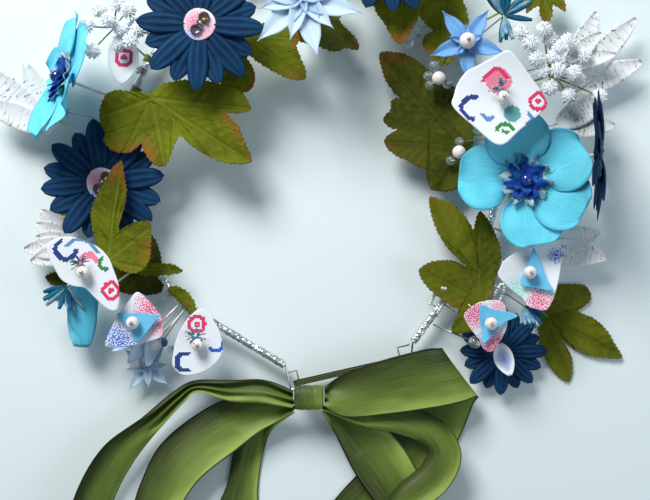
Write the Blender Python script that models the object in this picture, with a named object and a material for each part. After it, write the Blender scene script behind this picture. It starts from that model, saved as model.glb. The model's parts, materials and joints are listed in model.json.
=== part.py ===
"""Flower crown: an open ring of foil-wrapped wire that carries fabric flowers, leaves, beads and a
satin bow tied between its two ends.

The ring lies level. Its centre, on the table, is the origin; +Z is up and the bow is on the -Y side.
Every flower, leaf and petal stands on its own stem wire, which is bound round the ring by a short sleeve.
"""

import math
from typing import NamedTuple

import bmesh
import bpy
from mathutils import Matrix, Vector

MM = 0.001
GAP = 0.35 * MM  # left between pieces that touch

# The ring
RING_RADIUS = 87.5 * MM
DRAWN_RING_RADIUS = 87.5 * MM  # the ring that the bow's stations were drawn for
RING_HEIGHT = 8.0 * MM  # centreline above the table
LEFT_ARC_END = 239.0  # degrees, where the ring runs straight on to its left tip
RIGHT_ARC_END = -36.0  # degrees, the same on the right
LEFT_STRAIGHT = 38.8 * MM * RING_RADIUS / DRAWN_RING_RADIUS
RIGHT_STRAIGHT = 40.7 * MM * RING_RADIUS / DRAWN_RING_RADIUS
WIRE_RADIUS = 0.5 * MM
FOIL_RADIUS = 2.0 * MM
FOIL_SIDES = 8

# Stem wires and the sleeves that bind them to the ring
STEM_RADIUS = 0.55 * MM
SLEEVE_LENGTH = 2.4 * MM
SLEEVE_WALL = 0.8 * MM
SLEEVE_SIDES = 8

# End loops of the ring wire, and the ribbon that ties them together
LOOP_BAR_HALF = 4.0 * MM
LOOP_LEG = 4.5 * MM
LOOP_RUN = 8.5 * MM  # from the ring's tip to the far bar
LOOP_END_GAP = 1.6 * MM  # between a loop's bent-back end and the ring's tip
LOOP_TURN = 45.0  # degrees that the run points below level, towards the other tip
TIE_WIDTH = 5.6 * MM
TIE_HALF_HEIGHT = 2.2 * MM
TIE_HEIGHT = 7.0 * MM

# The bow
KNOT_SIZE = (13.0 * MM, 11.0 * MM, 9.5 * MM)
KNOT_ROUNDING = 2.0 * MM
RIBBON_START = 7.2 * MM  # where the loops and tails leave the knot, either side of its middle
KNOT_ALONG = 3.0 * MM  # along the tie from its left bar
KNOT_HEIGHT = 14.0 * MM
RIBBON_WIDTH = 27.0 * MM
RIBBON_THICKNESS = 0.8 * MM

# Flowers, leaves and trimmings
LEAF_THICKNESS = 0.8 * MM
PETAL_THICKNESS = 1.0 * MM
DAISY_RADIUS = 28.5 * MM
SMALL_DAISY_RADIUS = 20.5 * MM
DAISY_CUP = 3.0 * MM
DAISY_PETALS = 14
ORCHID_RADIUS = 29.0 * MM
ORCHID_CUP = 3.5 * MM
STAR_POINTS = 6
TOP_STAR_RADIUS = 27.0 * MM
RIGHT_STAR_RADIUS = 17.5 * MM
PALE_PETALS_RADIUS = 13.0 * MM
DISC_RADIUS = 7.0 * MM
DISC_THICKNESS = 0.8 * MM
BUTTON_RADIUS = 4.8 * MM
BUTTON_THICKNESS = 1.6 * MM
BUTTON_HOLE_RADIUS = 0.8 * MM
BUTTON_HOLE_OFFSET = 1.6 * MM  # of each thread hole from the button's middle
ROSETTE_RADIUS = 9.0 * MM
DOME_RADIUS = 3.2 * MM
PIN_RADIUS = 0.45 * MM
BEAD_BORE = 0.8 * MM
KNOB_RADIUS = 1.1 * MM
PEARL_RADIUS = 2.9 * MM
LARGE_PEARL_RADIUS = 3.6 * MM
GLASS_BEAD_RADIUS = 3.0 * MM
TRIANGLE_RADIUS = 8.5 * MM
BLOSSOM_RADIUS = 3.9 * MM

# Colours, as sRGB
NAVY = (0.09, 0.26, 0.42)
SKY_BLUE = (0.36, 0.80, 0.93)
LEAF_GREEN = (0.43, 0.46, 0.15)
RIBBON_GREEN = (0.44, 0.50, 0.28)
FABRIC_WHITE = (0.90, 0.93, 0.96)
PALE_BLUE = (0.76, 0.88, 0.97)
PERIWINKLE = (0.45, 0.67, 0.92)
PEARL_WHITE = (0.93, 0.89, 0.87)
FOIL_SILVER = (0.78, 0.80, 0.80)
WIRE_GREY = (0.45, 0.45, 0.46)
BUTTON_BROWN = (0.20, 0.15, 0.17)
ROSETTE_BLUE = (0.08, 0.22, 0.55)
PAPER_WHITE = (0.88, 0.89, 0.88)
GLASS_CLEAR = (0.86, 0.92, 0.94)

MAPLE_HALF = (
    (0, 1.00), (16, 0.64), (28, 0.46), (42, 0.66), (52, 0.80), (66, 0.50),
    (84, 0.35), (104, 0.46), (118, 0.56), (138, 0.32), (180, 0.22),
)  # degrees from the tip, and share of the centre-to-tip length


class Seat(NamedTuple):
    """Where a flower, leaf or petal stands and which way it faces."""

    angle: float  # degrees round the ring from +X
    out: float  # mm beyond the ring's centreline
    height: float  # mm above the table
    spin: float = 0.0  # degrees from outwards to the way its tip points
    lean: float = 0.0  # degrees that its face tips from straight up
    towards: float = 0.0  # degrees from outwards to the way it tips
    foot: float | None = None  # ring angle where its stem is bound; its own angle when left out


class Station(NamedTuple):
    """One cross-line of a ribbon, with its middle measured from the knot."""

    x: float  # mm
    y: float  # mm
    z: float  # mm above the table
    heading: float  # degrees, the way the cross-line points in plan
    tilt: float  # degrees that its far end is raised
    gather: float  # share of the ribbon's width that is spread here


# ---------------------------------------------------------------- scene and materials

def clear_scene():
    for obj in list(bpy.data.objects):
        bpy.data.objects.remove(obj)


def linear(colour):
    return tuple(c / 12.92 if c <= 0.04045 else ((c + 0.055) / 1.055) ** 2.4 for c in colour)


def material(name, colour, roughness=0.7, metallic=0.0):
    found = bpy.data.materials.get(name)
    if found:
        return found
    made = bpy.data.materials.new(name)
    made.use_nodes = True
    shader = made.node_tree.nodes["Principled BSDF"]
    shader.inputs["Base Color"].default_value = (*linear(colour), 1.0)
    shader.inputs["Roughness"].default_value = roughness
    shader.inputs["Metallic"].default_value = metallic
    return made


def new_object(name, mesh):
    obj = bpy.data.objects.new(name, mesh)
    bpy.context.scene.collection.objects.link(obj)
    return obj


def object_from_bmesh(name, shape):
    mesh = bpy.data.meshes.new(name)
    shape.to_mesh(mesh)
    shape.free()
    return new_object(name, mesh)


def evaluated_mesh(obj):
    graph = bpy.context.evaluated_depsgraph_get()
    graph.update()
    return bpy.data.meshes.new_from_object(obj.evaluated_get(graph))


def combine(name, pieces, finish, origin, operation="UNION"):
    """One object from several by exact Booleans, with its origin at the point given."""
    body, others = pieces[0], pieces[1:]
    for other in others:
        modifier = body.modifiers.new("combine", "BOOLEAN")
        modifier.operation = operation
        modifier.solver = "EXACT"
        modifier.object = other
    mesh = evaluated_mesh(body)
    mesh.name = name
    mesh.transform(Matrix.Translation(-origin) @ body.matrix_world)
    for piece in pieces:
        bpy.data.objects.remove(piece)
    mesh.materials.clear()
    mesh.materials.append(finish)
    mesh.shade_smooth()
    mesh.set_sharp_from_angle(angle=math.radians(40))
    obj = new_object(name, mesh)
    obj.location = origin
    return obj


def solidify(obj, thickness, offset=0.0):
    modifier = obj.modifiers.new("wall", "SOLIDIFY")
    modifier.thickness = thickness
    modifier.offset = offset
    return obj


# ---------------------------------------------------------------- shapes

def blade(outline, cup, thickness):
    """A thin plate with a star-shaped outline, dished so that its rim is higher than its middle."""
    shape = bmesh.new()
    reach = max(math.hypot(x, y) for x, y in outline)
    centre = shape.verts.new((0, 0, 0))
    rim = [shape.verts.new((x, y, cup * (math.hypot(x, y) / reach) ** 2)) for x, y in outline]
    for one, other in zip(rim, rim[1:] + rim[:1]):
        shape.faces.new((centre, one, other))
    return solidify(object_from_bmesh("blade", shape), thickness)


def round_plate(radius, thickness, sides=16):
    shape = bmesh.new()
    bmesh.ops.create_cone(
        shape, cap_ends=True, segments=sides, radius1=radius, radius2=radius, depth=thickness
    )
    return object_from_bmesh("plate", shape)


def ball(radius, segments=10, rings=6):
    shape = bmesh.new()
    bmesh.ops.create_uvsphere(shape, u_segments=segments, v_segments=rings, radius=radius)
    return object_from_bmesh("ball", shape)


def rod(start, end, radius, sides=6):
    """A straight round wire between two points."""
    run = end - start
    shape = bmesh.new()
    bmesh.ops.create_cone(
        shape, cap_ends=True, segments=sides, radius1=radius, radius2=radius, depth=run.length
    )
    obj = object_from_bmesh("rod", shape)
    turn = run.to_track_quat("Z", "Y").to_matrix().to_4x4()
    obj.matrix_world = Matrix.Translation((start + end) / 2) @ turn
    return obj


def polar_outline(radius_at, points):
    """The outline whose radius is a function of the angle in radians."""
    turns = [2 * math.pi * i / points for i in range(points)]
    return [(radius_at(t) * math.cos(t), radius_at(t) * math.sin(t)) for t in turns]


def maple_outline(length):
    turns = [*MAPLE_HALF, *((360 - a, r) for a, r in MAPLE_HALF[-2:0:-1])]
    return [
        (length * r * math.cos(math.radians(a)), length * r * math.sin(math.radians(a)))
        for a, r in turns
    ]


def pointed_outline(radius, points, waist):
    """A star with the given number of points; waist is the inner radius over the outer."""
    return [
        (r * math.cos(math.pi * i / points), r * math.sin(math.pi * i / points))
        for i in range(2 * points)
        for r in [radius if i % 2 == 0 else radius * waist]
    ]


def petalled_outline(radius, petals, waist, points):
    """Rounded petals side by side, dipping to the waist between them."""
    def radius_at(turn):
        return radius * (waist + (1 - waist) * abs(math.cos(petals * turn / 2)) ** 0.55)

    return polar_outline(radius_at, points)


def lens_outline(length, width, power=1.5, points=18):
    """A superellipse: 2 is an ellipse, and 1 a diamond."""
    def radius_at(turn):
        along = abs(math.cos(turn) / length) ** power
        across = abs(math.sin(turn) / width) ** power
        return (along + across) ** (-1 / power)

    return polar_outline(radius_at, points)


# ---------------------------------------------------------------- the ring

def heading(degrees):
    return Vector((math.cos(math.radians(degrees)), math.sin(math.radians(degrees)), 0.0))


def ring_frame(angle):
    """Point, tangent and outward direction of the ring's centreline at an angle; past the arc's
    ends, the angle runs on along the straights at the same pace."""
    held = min(max(angle, RIGHT_ARC_END), LEFT_ARC_END)
    outward = heading(held)
    tangent = heading(held + 90)
    past = math.radians(angle - held) * RING_RADIUS
    point = outward * RING_RADIUS + tangent * past + Vector((0, 0, RING_HEIGHT))
    return point, tangent, outward


LEFT_TIP = LEFT_ARC_END + math.degrees(LEFT_STRAIGHT / RING_RADIUS)
RIGHT_TIP = RIGHT_ARC_END - math.degrees(RIGHT_STRAIGHT / RING_RADIUS)


def ring_route(steps=52):
    """Points from the left tip round to the right tip."""
    angles = [LEFT_TIP + (RIGHT_TIP - LEFT_TIP) * i / steps for i in range(steps + 1)]
    return [ring_frame(angle)[0] for angle in angles]


def tie_ends():
    """Middles of the two far bars, and the direction from the left one to the right one."""
    left = ring_frame(LEFT_TIP)[0] + heading(-LOOP_TURN) * LOOP_RUN
    right = ring_frame(RIGHT_TIP)[0] + heading(180 + LOOP_TURN) * LOOP_RUN
    left.z = right.z = TIE_HEIGHT
    return left, right, (right - left).normalized()


def end_loop(bar, inward):
    """Corners of an end loop, from the ring's tip round and back, for a far bar at the middle of
    which the tie pulls the way inward points."""
    across = Vector((-inward.y, inward.x, 0))
    return [
        bar - across * LOOP_BAR_HALF - inward * LOOP_LEG,
        bar - across * LOOP_BAR_HALF,
        bar + across * LOOP_BAR_HALF,
        bar + across * LOOP_BAR_HALF - inward * LOOP_LEG,
    ]


def stopped_short(start, tip):
    """Where a wire bent back from start ends, just before the ring's tip."""
    run = tip - start
    return tip - run.normalized() * LOOP_END_GAP


def wire_curve(name, points, radius, finish):
    data = bpy.data.curves.new(name, "CURVE")
    data.dimensions = "3D"
    data.bevel_depth = radius
    data.bevel_resolution = 1
    data.use_fill_caps = True
    spline = data.splines.new("POLY")
    spline.points.add(len(points) - 1)
    for place, point in zip(spline.points, points):
        place.co = (*point, 1.0)
    data.materials.append(finish)
    return new_object(name, data)


def make_ring_wire():
    left, right, along = tie_ends()
    left_loop = end_loop(left, along)
    right_loop = end_loop(right, -along)
    route = ring_route()
    left_end = stopped_short(left_loop[3], route[0])
    right_end = stopped_short(right_loop[0], route[-1])
    points = [left_end, *reversed(left_loop), *route, *reversed(right_loop), right_end]
    return wire_curve("ring_wire", points, WIRE_RADIUS, material("wire", WIRE_GREY, 0.3, 1.0))


def make_foil_wrap():
    """A tube of foil tape round the wire, open at both ends."""
    route = ring_route()
    up = Vector((0, 0, 1))
    shape = bmesh.new()
    rings = []
    for i, point in enumerate(route):
        before, after = route[max(i - 1, 0)], route[min(i + 1, len(route) - 1)]
        side = (after - before).normalized().cross(up)
        turns = [2 * math.pi * (j + 0.5) / FOIL_SIDES for j in range(FOIL_SIDES)]
        rings.append(
            [
                shape.verts.new(point + (side * math.cos(t) + up * math.sin(t)) * FOIL_RADIUS)
                for t in turns
            ]
        )
    for ring, following in zip(rings, rings[1:]):
        for j in range(FOIL_SIDES):
            k = (j + 1) % FOIL_SIDES
            shape.faces.new((ring[j], ring[k], following[k], following[j]))
    bmesh.ops.recalc_face_normals(shape, faces=shape.faces)
    bore = WIRE_RADIUS + GAP
    obj = solidify(object_from_bmesh("tube", shape), FOIL_RADIUS - bore, offset=-1)
    return combine("foil_wrap", [obj], material("foil", FOIL_SILVER, 0.35, 1.0), Vector((0, 0, 0)))


# ---------------------------------------------------------------- seats and stems

def seat_matrix(seat):
    """Placing of a piece modelled face up at the origin, with its tip along +X."""
    place = heading(seat.angle) * (RING_RADIUS + seat.out * MM)
    place.z = seat.height * MM
    tipping = Matrix.Rotation(
        math.radians(seat.lean), 4, Vector((0, 0, 1)).cross(heading(seat.angle + seat.towards))
    )
    spun = Matrix.Rotation(math.radians(seat.angle + seat.spin), 4, "Z")
    return Matrix.Translation(place) @ tipping @ spun


def put(obj, matrix):
    obj.matrix_world = matrix @ obj.matrix_world
    return obj


class Sleeves:
    """Hands out places on the ring, one sleeve wide, so that no two stems are bound at one place."""

    def __init__(self):
        self.pitch = math.degrees((SLEEVE_LENGTH + 2 * GAP) / RING_RADIUS)
        self.taken = set()

    def nearest_free(self, angle):
        wanted = round(angle / self.pitch)
        tries = sorted(range(wanted - 40, wanted + 41), key=lambda slot: (abs(slot - wanted), slot))
        free = [
            slot
            for slot in tries
            if slot not in self.taken and RIGHT_TIP + 2 < slot * self.pitch < LEFT_TIP - 2
        ]
        self.taken.add(free[0])
        return free[0] * self.pitch


SLEEVES = Sleeves()


def sleeve(angle):
    """The bound end of a stem: a short tube that the foil wrap passes through with clearance."""
    point, tangent, _ = ring_frame(angle)
    inner = (FOIL_RADIUS + GAP) / math.cos(math.pi / SLEEVE_SIDES)
    shape = bmesh.new()
    bmesh.ops.create_cone(
        shape, cap_ends=False, segments=SLEEVE_SIDES, radius1=inner, radius2=inner, depth=SLEEVE_LENGTH
    )
    obj = solidify(object_from_bmesh("sleeve", shape), SLEEVE_WALL, offset=1)
    obj.matrix_world = Matrix.Translation(point) @ tangent.to_track_quat("Z", "Y").to_matrix().to_4x4()
    return obj


def stem(seat, target):
    """A sleeve on the ring and the wire from it to the target; returns them and the ring point."""
    angle = SLEEVES.nearest_free(seat.angle if seat.foot is None else seat.foot)
    point, tangent, _ = ring_frame(angle)
    aim = target - point
    aim -= tangent * aim.dot(tangent)
    start = point + aim.normalized() * (FOIL_RADIUS + GAP + SLEEVE_WALL / 2)
    end = Vector((target.x, target.y, max(target.z, 1.25 * STEM_RADIUS)))
    return [sleeve(angle), rod(start, end, STEM_RADIUS)], point


def on_stem(name, head, seat, finish):
    """A head with its stem wire and sleeve, as one piece."""
    matrix = seat_matrix(seat)
    wires, foot = stem(seat, matrix.translation)
    return combine(name, [put(head, matrix), *wires], finish, foot)


# ---------------------------------------------------------------- leaves

LEAF_SEATS = {  # seat, length from centre to tip in mm, and cup in mm
    "leaf_upper_left": (Seat(161.7, -21.9, 22, 166, foot=158), 40.4, 2.0),
    "leaf_top_left": (Seat(113.3, -31.2, 15, 208, foot=118), 24.7, 2.0),
    "leaf_top_centre": (Seat(82.4, -21.8, 12, 231, foot=84), 18.2, 1.0),
    "leaf_top_right": (Seat(58.2, -3.6, 20, 198, foot=59), 21.0, 1.5),
    "leaf_top_right_low": (Seat(47.4, 0.6, 14, 225, foot=50), 20.2, 1.0),
    "leaf_mid_right": (Seat(19.4, -29.5, 12, 109, foot=9), 36.0, 2.0),
    "leaf_right": (Seat(-31.5, -8.3, 14, 144), 28.4, 1.5),
    "leaf_lower_right": (Seat(-32.9, 52.4, 0.4, 4, foot=-30), 28.5, 0.0),
    "leaf_left": (Seat(204.0, 0.9, 25, 255, foot=206), 33.9, 1.5),
    "leaf_lower_left": (Seat(206.9, 37.1, 0.4, 323, foot=200), 13.7, 0.0),
    "leaf_back_right": (Seat(35.1, 43.6, 12, 237, foot=40), 13.3, 0.5),
    "leaf_back_top": (Seat(100.0, 26.0, 0.4, 10), 26.0, 0.0),
}


def make_leaves():
    finish = material("leaf", LEAF_GREEN, 0.65)
    for name, (seat, length, cup) in LEAF_SEATS.items():
        head = blade(maple_outline(length * MM), cup * MM, LEAF_THICKNESS)
        on_stem(name, head, seat, finish)


# ---------------------------------------------------------------- daisies and orchids

DAISY_SEATS = {  # seat and radius
    "daisy_top_left": (Seat(130.3, -13.1, 36), DAISY_RADIUS),
    "daisy_left": (Seat(186.7, 7.6, 17), DAISY_RADIUS),
    "daisy_right": (Seat(0.3, 39.1, 31, lean=78), DAISY_RADIUS),
    "daisy_lower_right": (Seat(-45.0, 37.5, 7), SMALL_DAISY_RADIUS),
    "daisy_top": (Seat(69.0, 10.0, 33), DAISY_RADIUS),
}


def stacked(matrix, rise):
    return matrix @ Matrix.Translation((0, 0, rise))


def make_daisies():
    finish = material("daisy", NAVY, 0.75)
    for name, (seat, radius) in DAISY_SEATS.items():
        outline = pointed_outline(radius, DAISY_PETALS, 0.62)
        on_stem(name, blade(outline, DAISY_CUP, PETAL_THICKNESS), seat, finish)
    disc_rise = PETAL_THICKNESS / 2 + DAISY_CUP * (DISC_RADIUS / DAISY_RADIUS) ** 2
    disc_rise += 2 * GAP + DISC_THICKNESS / 2
    button_rise = disc_rise + DISC_THICKNESS / 2 + GAP + BUTTON_THICKNESS / 2
    for name in ("daisy_top_left", "daisy_left"):
        matrix = seat_matrix(DAISY_SEATS[name][0])
        disc = put(round_plate(DISC_RADIUS, DISC_THICKNESS), stacked(matrix, disc_rise))
        centre = disc.matrix_world.translation.copy()
        combine(f"{name}_disc", [disc], material("print_fabric", FABRIC_WHITE, 0.9), centre)
        button = put(round_plate(BUTTON_RADIUS, BUTTON_THICKNESS), stacked(matrix, button_rise))
        holes = [
            put(
                round_plate(BUTTON_HOLE_RADIUS, 3 * BUTTON_THICKNESS, 6),
                stacked(matrix, button_rise) @ Matrix.Translation((offset, 0, 0)),
            )
            for offset in (-BUTTON_HOLE_OFFSET, BUTTON_HOLE_OFFSET)
        ]
        brown = material("button", BUTTON_BROWN, 0.25)
        combine(f"{name}_button", [button, *holes], brown, centre, "DIFFERENCE")


ORCHID_SEATS = {
    "orchid_right": Seat(-6.2, 8.2, 27, spin=80),
    "orchid_left": Seat(162.7, 25.1, 32, lean=62),
}


def make_orchids():
    finish = material("orchid", SKY_BLUE, 0.6)
    for name, seat in ORCHID_SEATS.items():
        outline = petalled_outline(ORCHID_RADIUS, 5, 0.45, 40)
        on_stem(name, blade(outline, ORCHID_CUP, PETAL_THICKNESS), seat, finish)
        rise = PETAL_THICKNESS + ORCHID_CUP * (ROSETTE_RADIUS / ORCHID_RADIUS) ** 2 + 3 * GAP
        rosette = blade(petalled_outline(ROSETTE_RADIUS, 6, 0.7, 24), 1.5 * MM, PETAL_THICKNESS)
        dome = ball(DOME_RADIUS)
        matrix = stacked(seat_matrix(seat), rise)
        put(rosette, matrix)
        put(dome, stacked(matrix, DOME_RADIUS))
        blue = material("rosette", ROSETTE_BLUE, 0.9)
        combine(f"{name}_centre", [rosette, dome], blue, matrix.translation.copy())


def make_bud():
    seat = Seat(213.4, 37.5, 13, spin=55, foot=211)
    head = blade(lens_outline(17 * MM, 9 * MM, 1.7), 3 * MM, 2 * PETAL_THICKNESS)
    on_stem("blue_bud", head, seat, material("orchid", SKY_BLUE, 0.6))


# ---------------------------------------------------------------- stars, print petals and pearls

def pin_parts(matrix, bead_radius, rise):
    """The wire through a bead and the knob that keeps the bead on it."""
    top = rise + 2 * bead_radius + 2 * GAP + KNOB_RADIUS * 0.8
    post = rod(matrix @ Vector((0, 0, 0)), matrix @ Vector((0, 0, top)), PIN_RADIUS)
    return [post, put(ball(KNOB_RADIUS, 8, 4), stacked(matrix, top))]


def make_pearl(name, matrix, radius, rise):
    """A pearl threaded on the pin, free to turn on it."""
    place = stacked(matrix, rise + GAP + radius)
    bore = put(round_plate(BEAD_BORE, 3 * radius, 8), place)
    pearl = put(ball(radius, 12, 8), place)
    centre = place.translation.copy()
    combine(name, [pearl, bore], material("pearl", PEARL_WHITE, 0.2), centre, "DIFFERENCE")


class Petal(NamedTuple):
    """A printed fabric petal with the pearl and the folded blue triangle that it may carry."""

    seat: Seat
    length: float  # mm from the centre to the tip
    width: float  # mm from the centre to the side
    pearl: str | None = None
    triangle: str | None = None


PRINT_PETALS = {
    "print_petal_upper_right": Petal(Seat(16.2, -1.5, 41, spin=295), 21, 20, "pearl_upper_right"),
    "print_petal_left": Petal(Seat(207.2, 24.4, 30, spin=103), 20, 13, "pearl_left"),
    "print_petal_lower_left": Petal(
        Seat(223.1, 20.1, 24, spin=350), 15, 12, "pearl_lower_left", "blue_triangle_left"
    ),
    "print_petal_bow_left": Petal(Seat(239.0, 10.3, 20, spin=211), 16, 11, "pearl_bow_left"),
    "print_petal_right": Petal(
        Seat(-27.7, 22.8, 21, spin=93), 16, 13, "pearl_right", "blue_triangle_right"
    ),
    "print_petal_lower_right": Petal(
        Seat(-42.8, 21.3, 24, spin=109), 12, 11, "pearl_lower_right", "blue_triangle_lower"
    ),
    "print_petal_back_left": Petal(Seat(152.0, 9.0, 17, spin=115), 11, 7),
}


def make_print_petals():
    finish = material("print_fabric", FABRIC_WHITE, 0.9)
    cup = 1.0 * MM
    for name, petal in PRINT_PETALS.items():
        matrix = seat_matrix(petal.seat)
        outline = lens_outline(petal.length * MM, petal.width * MM)
        head = put(blade(outline, cup, PETAL_THICKNESS), matrix)
        rise = PETAL_THICKNESS / 2 + GAP
        if petal.triangle:
            triangle_rise = rise + cup + PETAL_THICKNESS / 2
            flap = blade(pointed_outline(TRIANGLE_RADIUS, 3, 0.55), 0.0, PETAL_THICKNESS)
            hole = round_plate(PIN_RADIUS + GAP, 4 * PETAL_THICKNESS, 8)
            pieces = [put(piece, stacked(matrix, triangle_rise)) for piece in (flap, hole)]
            centre = stacked(matrix, triangle_rise).translation.copy()
            combine(petal.triangle, pieces, material("orchid", SKY_BLUE, 0.6), centre, "DIFFERENCE")
            rise = triangle_rise + PETAL_THICKNESS / 2
        if petal.pearl:
            make_pearl(petal.pearl, matrix, PEARL_RADIUS, rise)
        wires, foot = stem(petal.seat, matrix.translation)
        pin = pin_parts(matrix, PEARL_RADIUS, rise) if petal.pearl else []
        combine(name, [head, *wires, *pin], finish, foot)


def make_stars():
    top = Seat(93.0, -20.3, 42, spin=12, foot=97)
    head = blade(pointed_outline(TOP_STAR_RADIUS, STAR_POINTS, 0.34), 2 * MM, PETAL_THICKNESS)
    on_stem("star_top", head, top, material("pale_star", PALE_BLUE, 0.5))
    right = Seat(36.2, -1.9, 28, spin=20, foot=34)
    matrix = seat_matrix(right)
    rise = PETAL_THICKNESS / 2 + GAP
    head = blade(pointed_outline(RIGHT_STAR_RADIUS, STAR_POINTS - 1, 0.34), 1.5 * MM, PETAL_THICKNESS)
    make_pearl("pearl_star", matrix, LARGE_PEARL_RADIUS, rise)
    wires, foot = stem(right, matrix.translation)
    pin = pin_parts(matrix, LARGE_PEARL_RADIUS, rise)
    combine("star_right", [put(head, matrix), *wires, *pin], material("blue_star", PERIWINKLE, 0.5), foot)


def make_paper_petals():
    finish = material("paper", PAPER_WHITE, 0.85)
    seats = {
        "paper_petal_left": (Seat(168.3, 48.2, 11, spin=-32, foot=176), 20, 6),
        "paper_petal_right": (Seat(19.9, 53.3, 9, spin=25, foot=24), 24, 6),
    }
    for name, (seat, length, width) in seats.items():
        head = blade(lens_outline(length * MM, width * MM), 0.5 * MM, PETAL_THICKNESS)
        on_stem(name, head, seat, finish)
    seat = Seat(231.5, 34.5, 6.5, spin=0, foot=230)
    head = blade(pointed_outline(PALE_PETALS_RADIUS, 4, 0.4), 1 * MM, PETAL_THICKNESS)
    on_stem("pale_petals", head, seat, material("pale_star", PALE_BLUE, 0.5))


# ---------------------------------------------------------------- baby's breath and the bead on its pin

BREATH_LEFT = ((0, 0, 4), (-8, 6, -2), (8, 7, 0), (-9, -6, -4), (3, -9, -5), (0, 15, -2))
BREATH_RIGHT = ((0, 0, 4), (-9, 5, -2), (7, 8, 0), (-6, -8, 0), (9, -6, -3), (1, 16, -3), (16, 3, -6))


def spray(name, seat, blossoms):
    """Blossoms on fine stems that meet under the middle of the spray."""
    matrix = seat_matrix(seat)
    meeting = stacked(matrix, -11 * MM).translation.copy()
    pieces = []
    for x, y, z in blossoms:
        place = matrix @ Vector((x * MM, y * MM, z * MM))
        pieces.append(put(ball(BLOSSOM_RADIUS, 8, 5), Matrix.Translation(place)))
        pieces.append(rod(meeting, place, STEM_RADIUS))
    wires, foot = stem(seat, meeting)
    joint = put(ball(2.5 * STEM_RADIUS, 8, 5), Matrix.Translation(meeting))
    combine(name, [joint, *pieces, *wires], material("blossom", FABRIC_WHITE, 0.9), foot)


def make_sprays():
    spray("babys_breath_left", Seat(146.0, 20.0, 26, foot=148), BREATH_LEFT)
    spray("babys_breath_right", Seat(19.2, 28.3, 25, foot=20), BREATH_RIGHT)


def make_bead_pin():
    """A straight pin bound beside the ring's right end, with a glass bead that slides along it."""
    seat = Seat(-47.2, 28.3, 16, foot=-55)
    end = seat_matrix(seat).translation.copy()
    wires, foot = stem(seat, end)
    run = (end - foot).normalized()
    knob = put(ball(KNOB_RADIUS, 8, 4), Matrix.Translation(end))
    combine("bead_pin", [wires[1], knob, wires[0]], material("wire", WIRE_GREY, 0.3, 1.0), foot)
    place = end - run * (GLASS_BEAD_RADIUS + KNOB_RADIUS + GAP)
    turned = Matrix.Translation(place) @ run.to_track_quat("Z", "Y").to_matrix().to_4x4()
    bead = put(ball(GLASS_BEAD_RADIUS, 12, 8), turned)
    bore = put(round_plate(STEM_RADIUS + GAP, 3 * GLASS_BEAD_RADIUS, 8), turned)
    combine("glass_bead", [bead, bore], material("glass", GLASS_CLEAR, 0.05), place, "DIFFERENCE")


# ---------------------------------------------------------------- the bow

LEFT_LOOP = (
    Station(-7.2, -0.5, 15.5, 90, 0, 0.30), Station(-21, 3, 15.5, 84, 12, 0.42),
    Station(-35.5, 3.3, 15, 88, 15, 0.38), Station(-51, 5.6, 14.5, 104, 20, 0.20),
    Station(-60, 0, 13, 130, 25, 0.27), Station(-72.5, -12, 12, 142, 30, 0.40),
    Station(-87, -26, 11, 147, 32, 0.65), Station(-97, -43, 11, 160, 38, 0.75),
    Station(-101, -60, 13, 178, 55, 0.90), Station(-96, -74, 14, 225, 70, 0.95),
    Station(-84, -77, 13, 285, 60, 0.95), Station(-76, -64, 9, 318, 35, 0.92),
    Station(-69.8, -48, 7.5, 323, 24, 0.90), Station(-60, -31, 7, 323, 20, 0.95),
    Station(-43, -17, 7, 322, 15, 0.95), Station(-27, -7.5, 8.5, 312, 12, 0.75),
    Station(-7.2, -3.2, 12.5, 275, 0, 0.28),
)
RIGHT_LOOP = (
    Station(7.2, -2.6, 13.5, 85, 0, 0.25), Station(24, -8, 12, 92, 10, 0.40),
    Station(42, -10.5, 11.5, 80, 22, 0.55), Station(56, -16, 12, 48, 28, 0.60),
    Station(62, -26, 12.5, 2, 30, 0.62), Station(57, -37, 12.5, -42, 30, 0.62),
    Station(46, -46, 13, -50, 35, 0.60), Station(41, -54, 14, -5, 60, 0.70),
    Station(46, -62, 13, 90, 62, 0.75), Station(52, -57, 9, 165, 40, 0.80),
    Station(44, -48, 5.2, 208, 6, 0.88), Station(33, -31, 4.8, 208, 4, 0.95),
    Station(25, -20, 5.2, 212, 4, 0.80), Station(16, -11, 8, 222, 0, 0.50),
    Station(7.2, -3.6, 11, 250, 0, 0.25),
)
TAIL_RIGHT = (
    Station(7.2, 0.8, 16.5, 90, 0, 0.33), Station(17, 1.5, 17, 92, 6, 0.75),
    Station(35, 5.2, 17.5, 98, 6, 0.93), Station(53, 8.8, 18, 102, 3, 1.00),
    Station(64, 10.5, 16, 115, 0, 1.00), Station(69.5, 10.5, 10, 128, 0, 1.00),
    Station(66, 3.5, 3.2, 140, 0, 1.00), Station(57, -16.5, 1.5, 150, 0, 1.00),
    Station(41, -37, 1.0, 148, 0, 1.00), Station(24, -56, 0.8, 145, 0, 1.00),
    Station(14, -70, 0.8, 145, 0, 1.00),
)
TAIL_LEFT = (
    Station(-7.2, -4.2, 10.5, -75, 0, 0.22), Station(-21.5, -13, 3.6, -35, 0, 0.40),
    Station(-28, -26, 1.6, -12, 0, 0.50), Station(-31.4, -44, 1.2, -5, 0, 0.55),
    Station(-35, -62, 1.0, -8, 0, 0.90), Station(-39, -76, 0.8, -12, 0, 1.00),
)


def knot_centre():
    left, _, along = tie_ends()
    across = Vector((-along.y, along.x, 0))
    centre = left + along * KNOT_ALONG - across * (TIE_WIDTH / 2 + GAP + KNOT_SIZE[1] / 2)
    centre.z = KNOT_HEIGHT
    return centre


def smooth_between(before, here, after, beyond, share):
    """Catmull-Rom value between here and after."""
    square, cube = share * share, share**3
    return 0.5 * (
        2 * here
        + (after - before) * share
        + (2 * before - 5 * here + 4 * after - beyond) * square
        + (3 * here - before - 3 * after + beyond) * cube
    )


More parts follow.
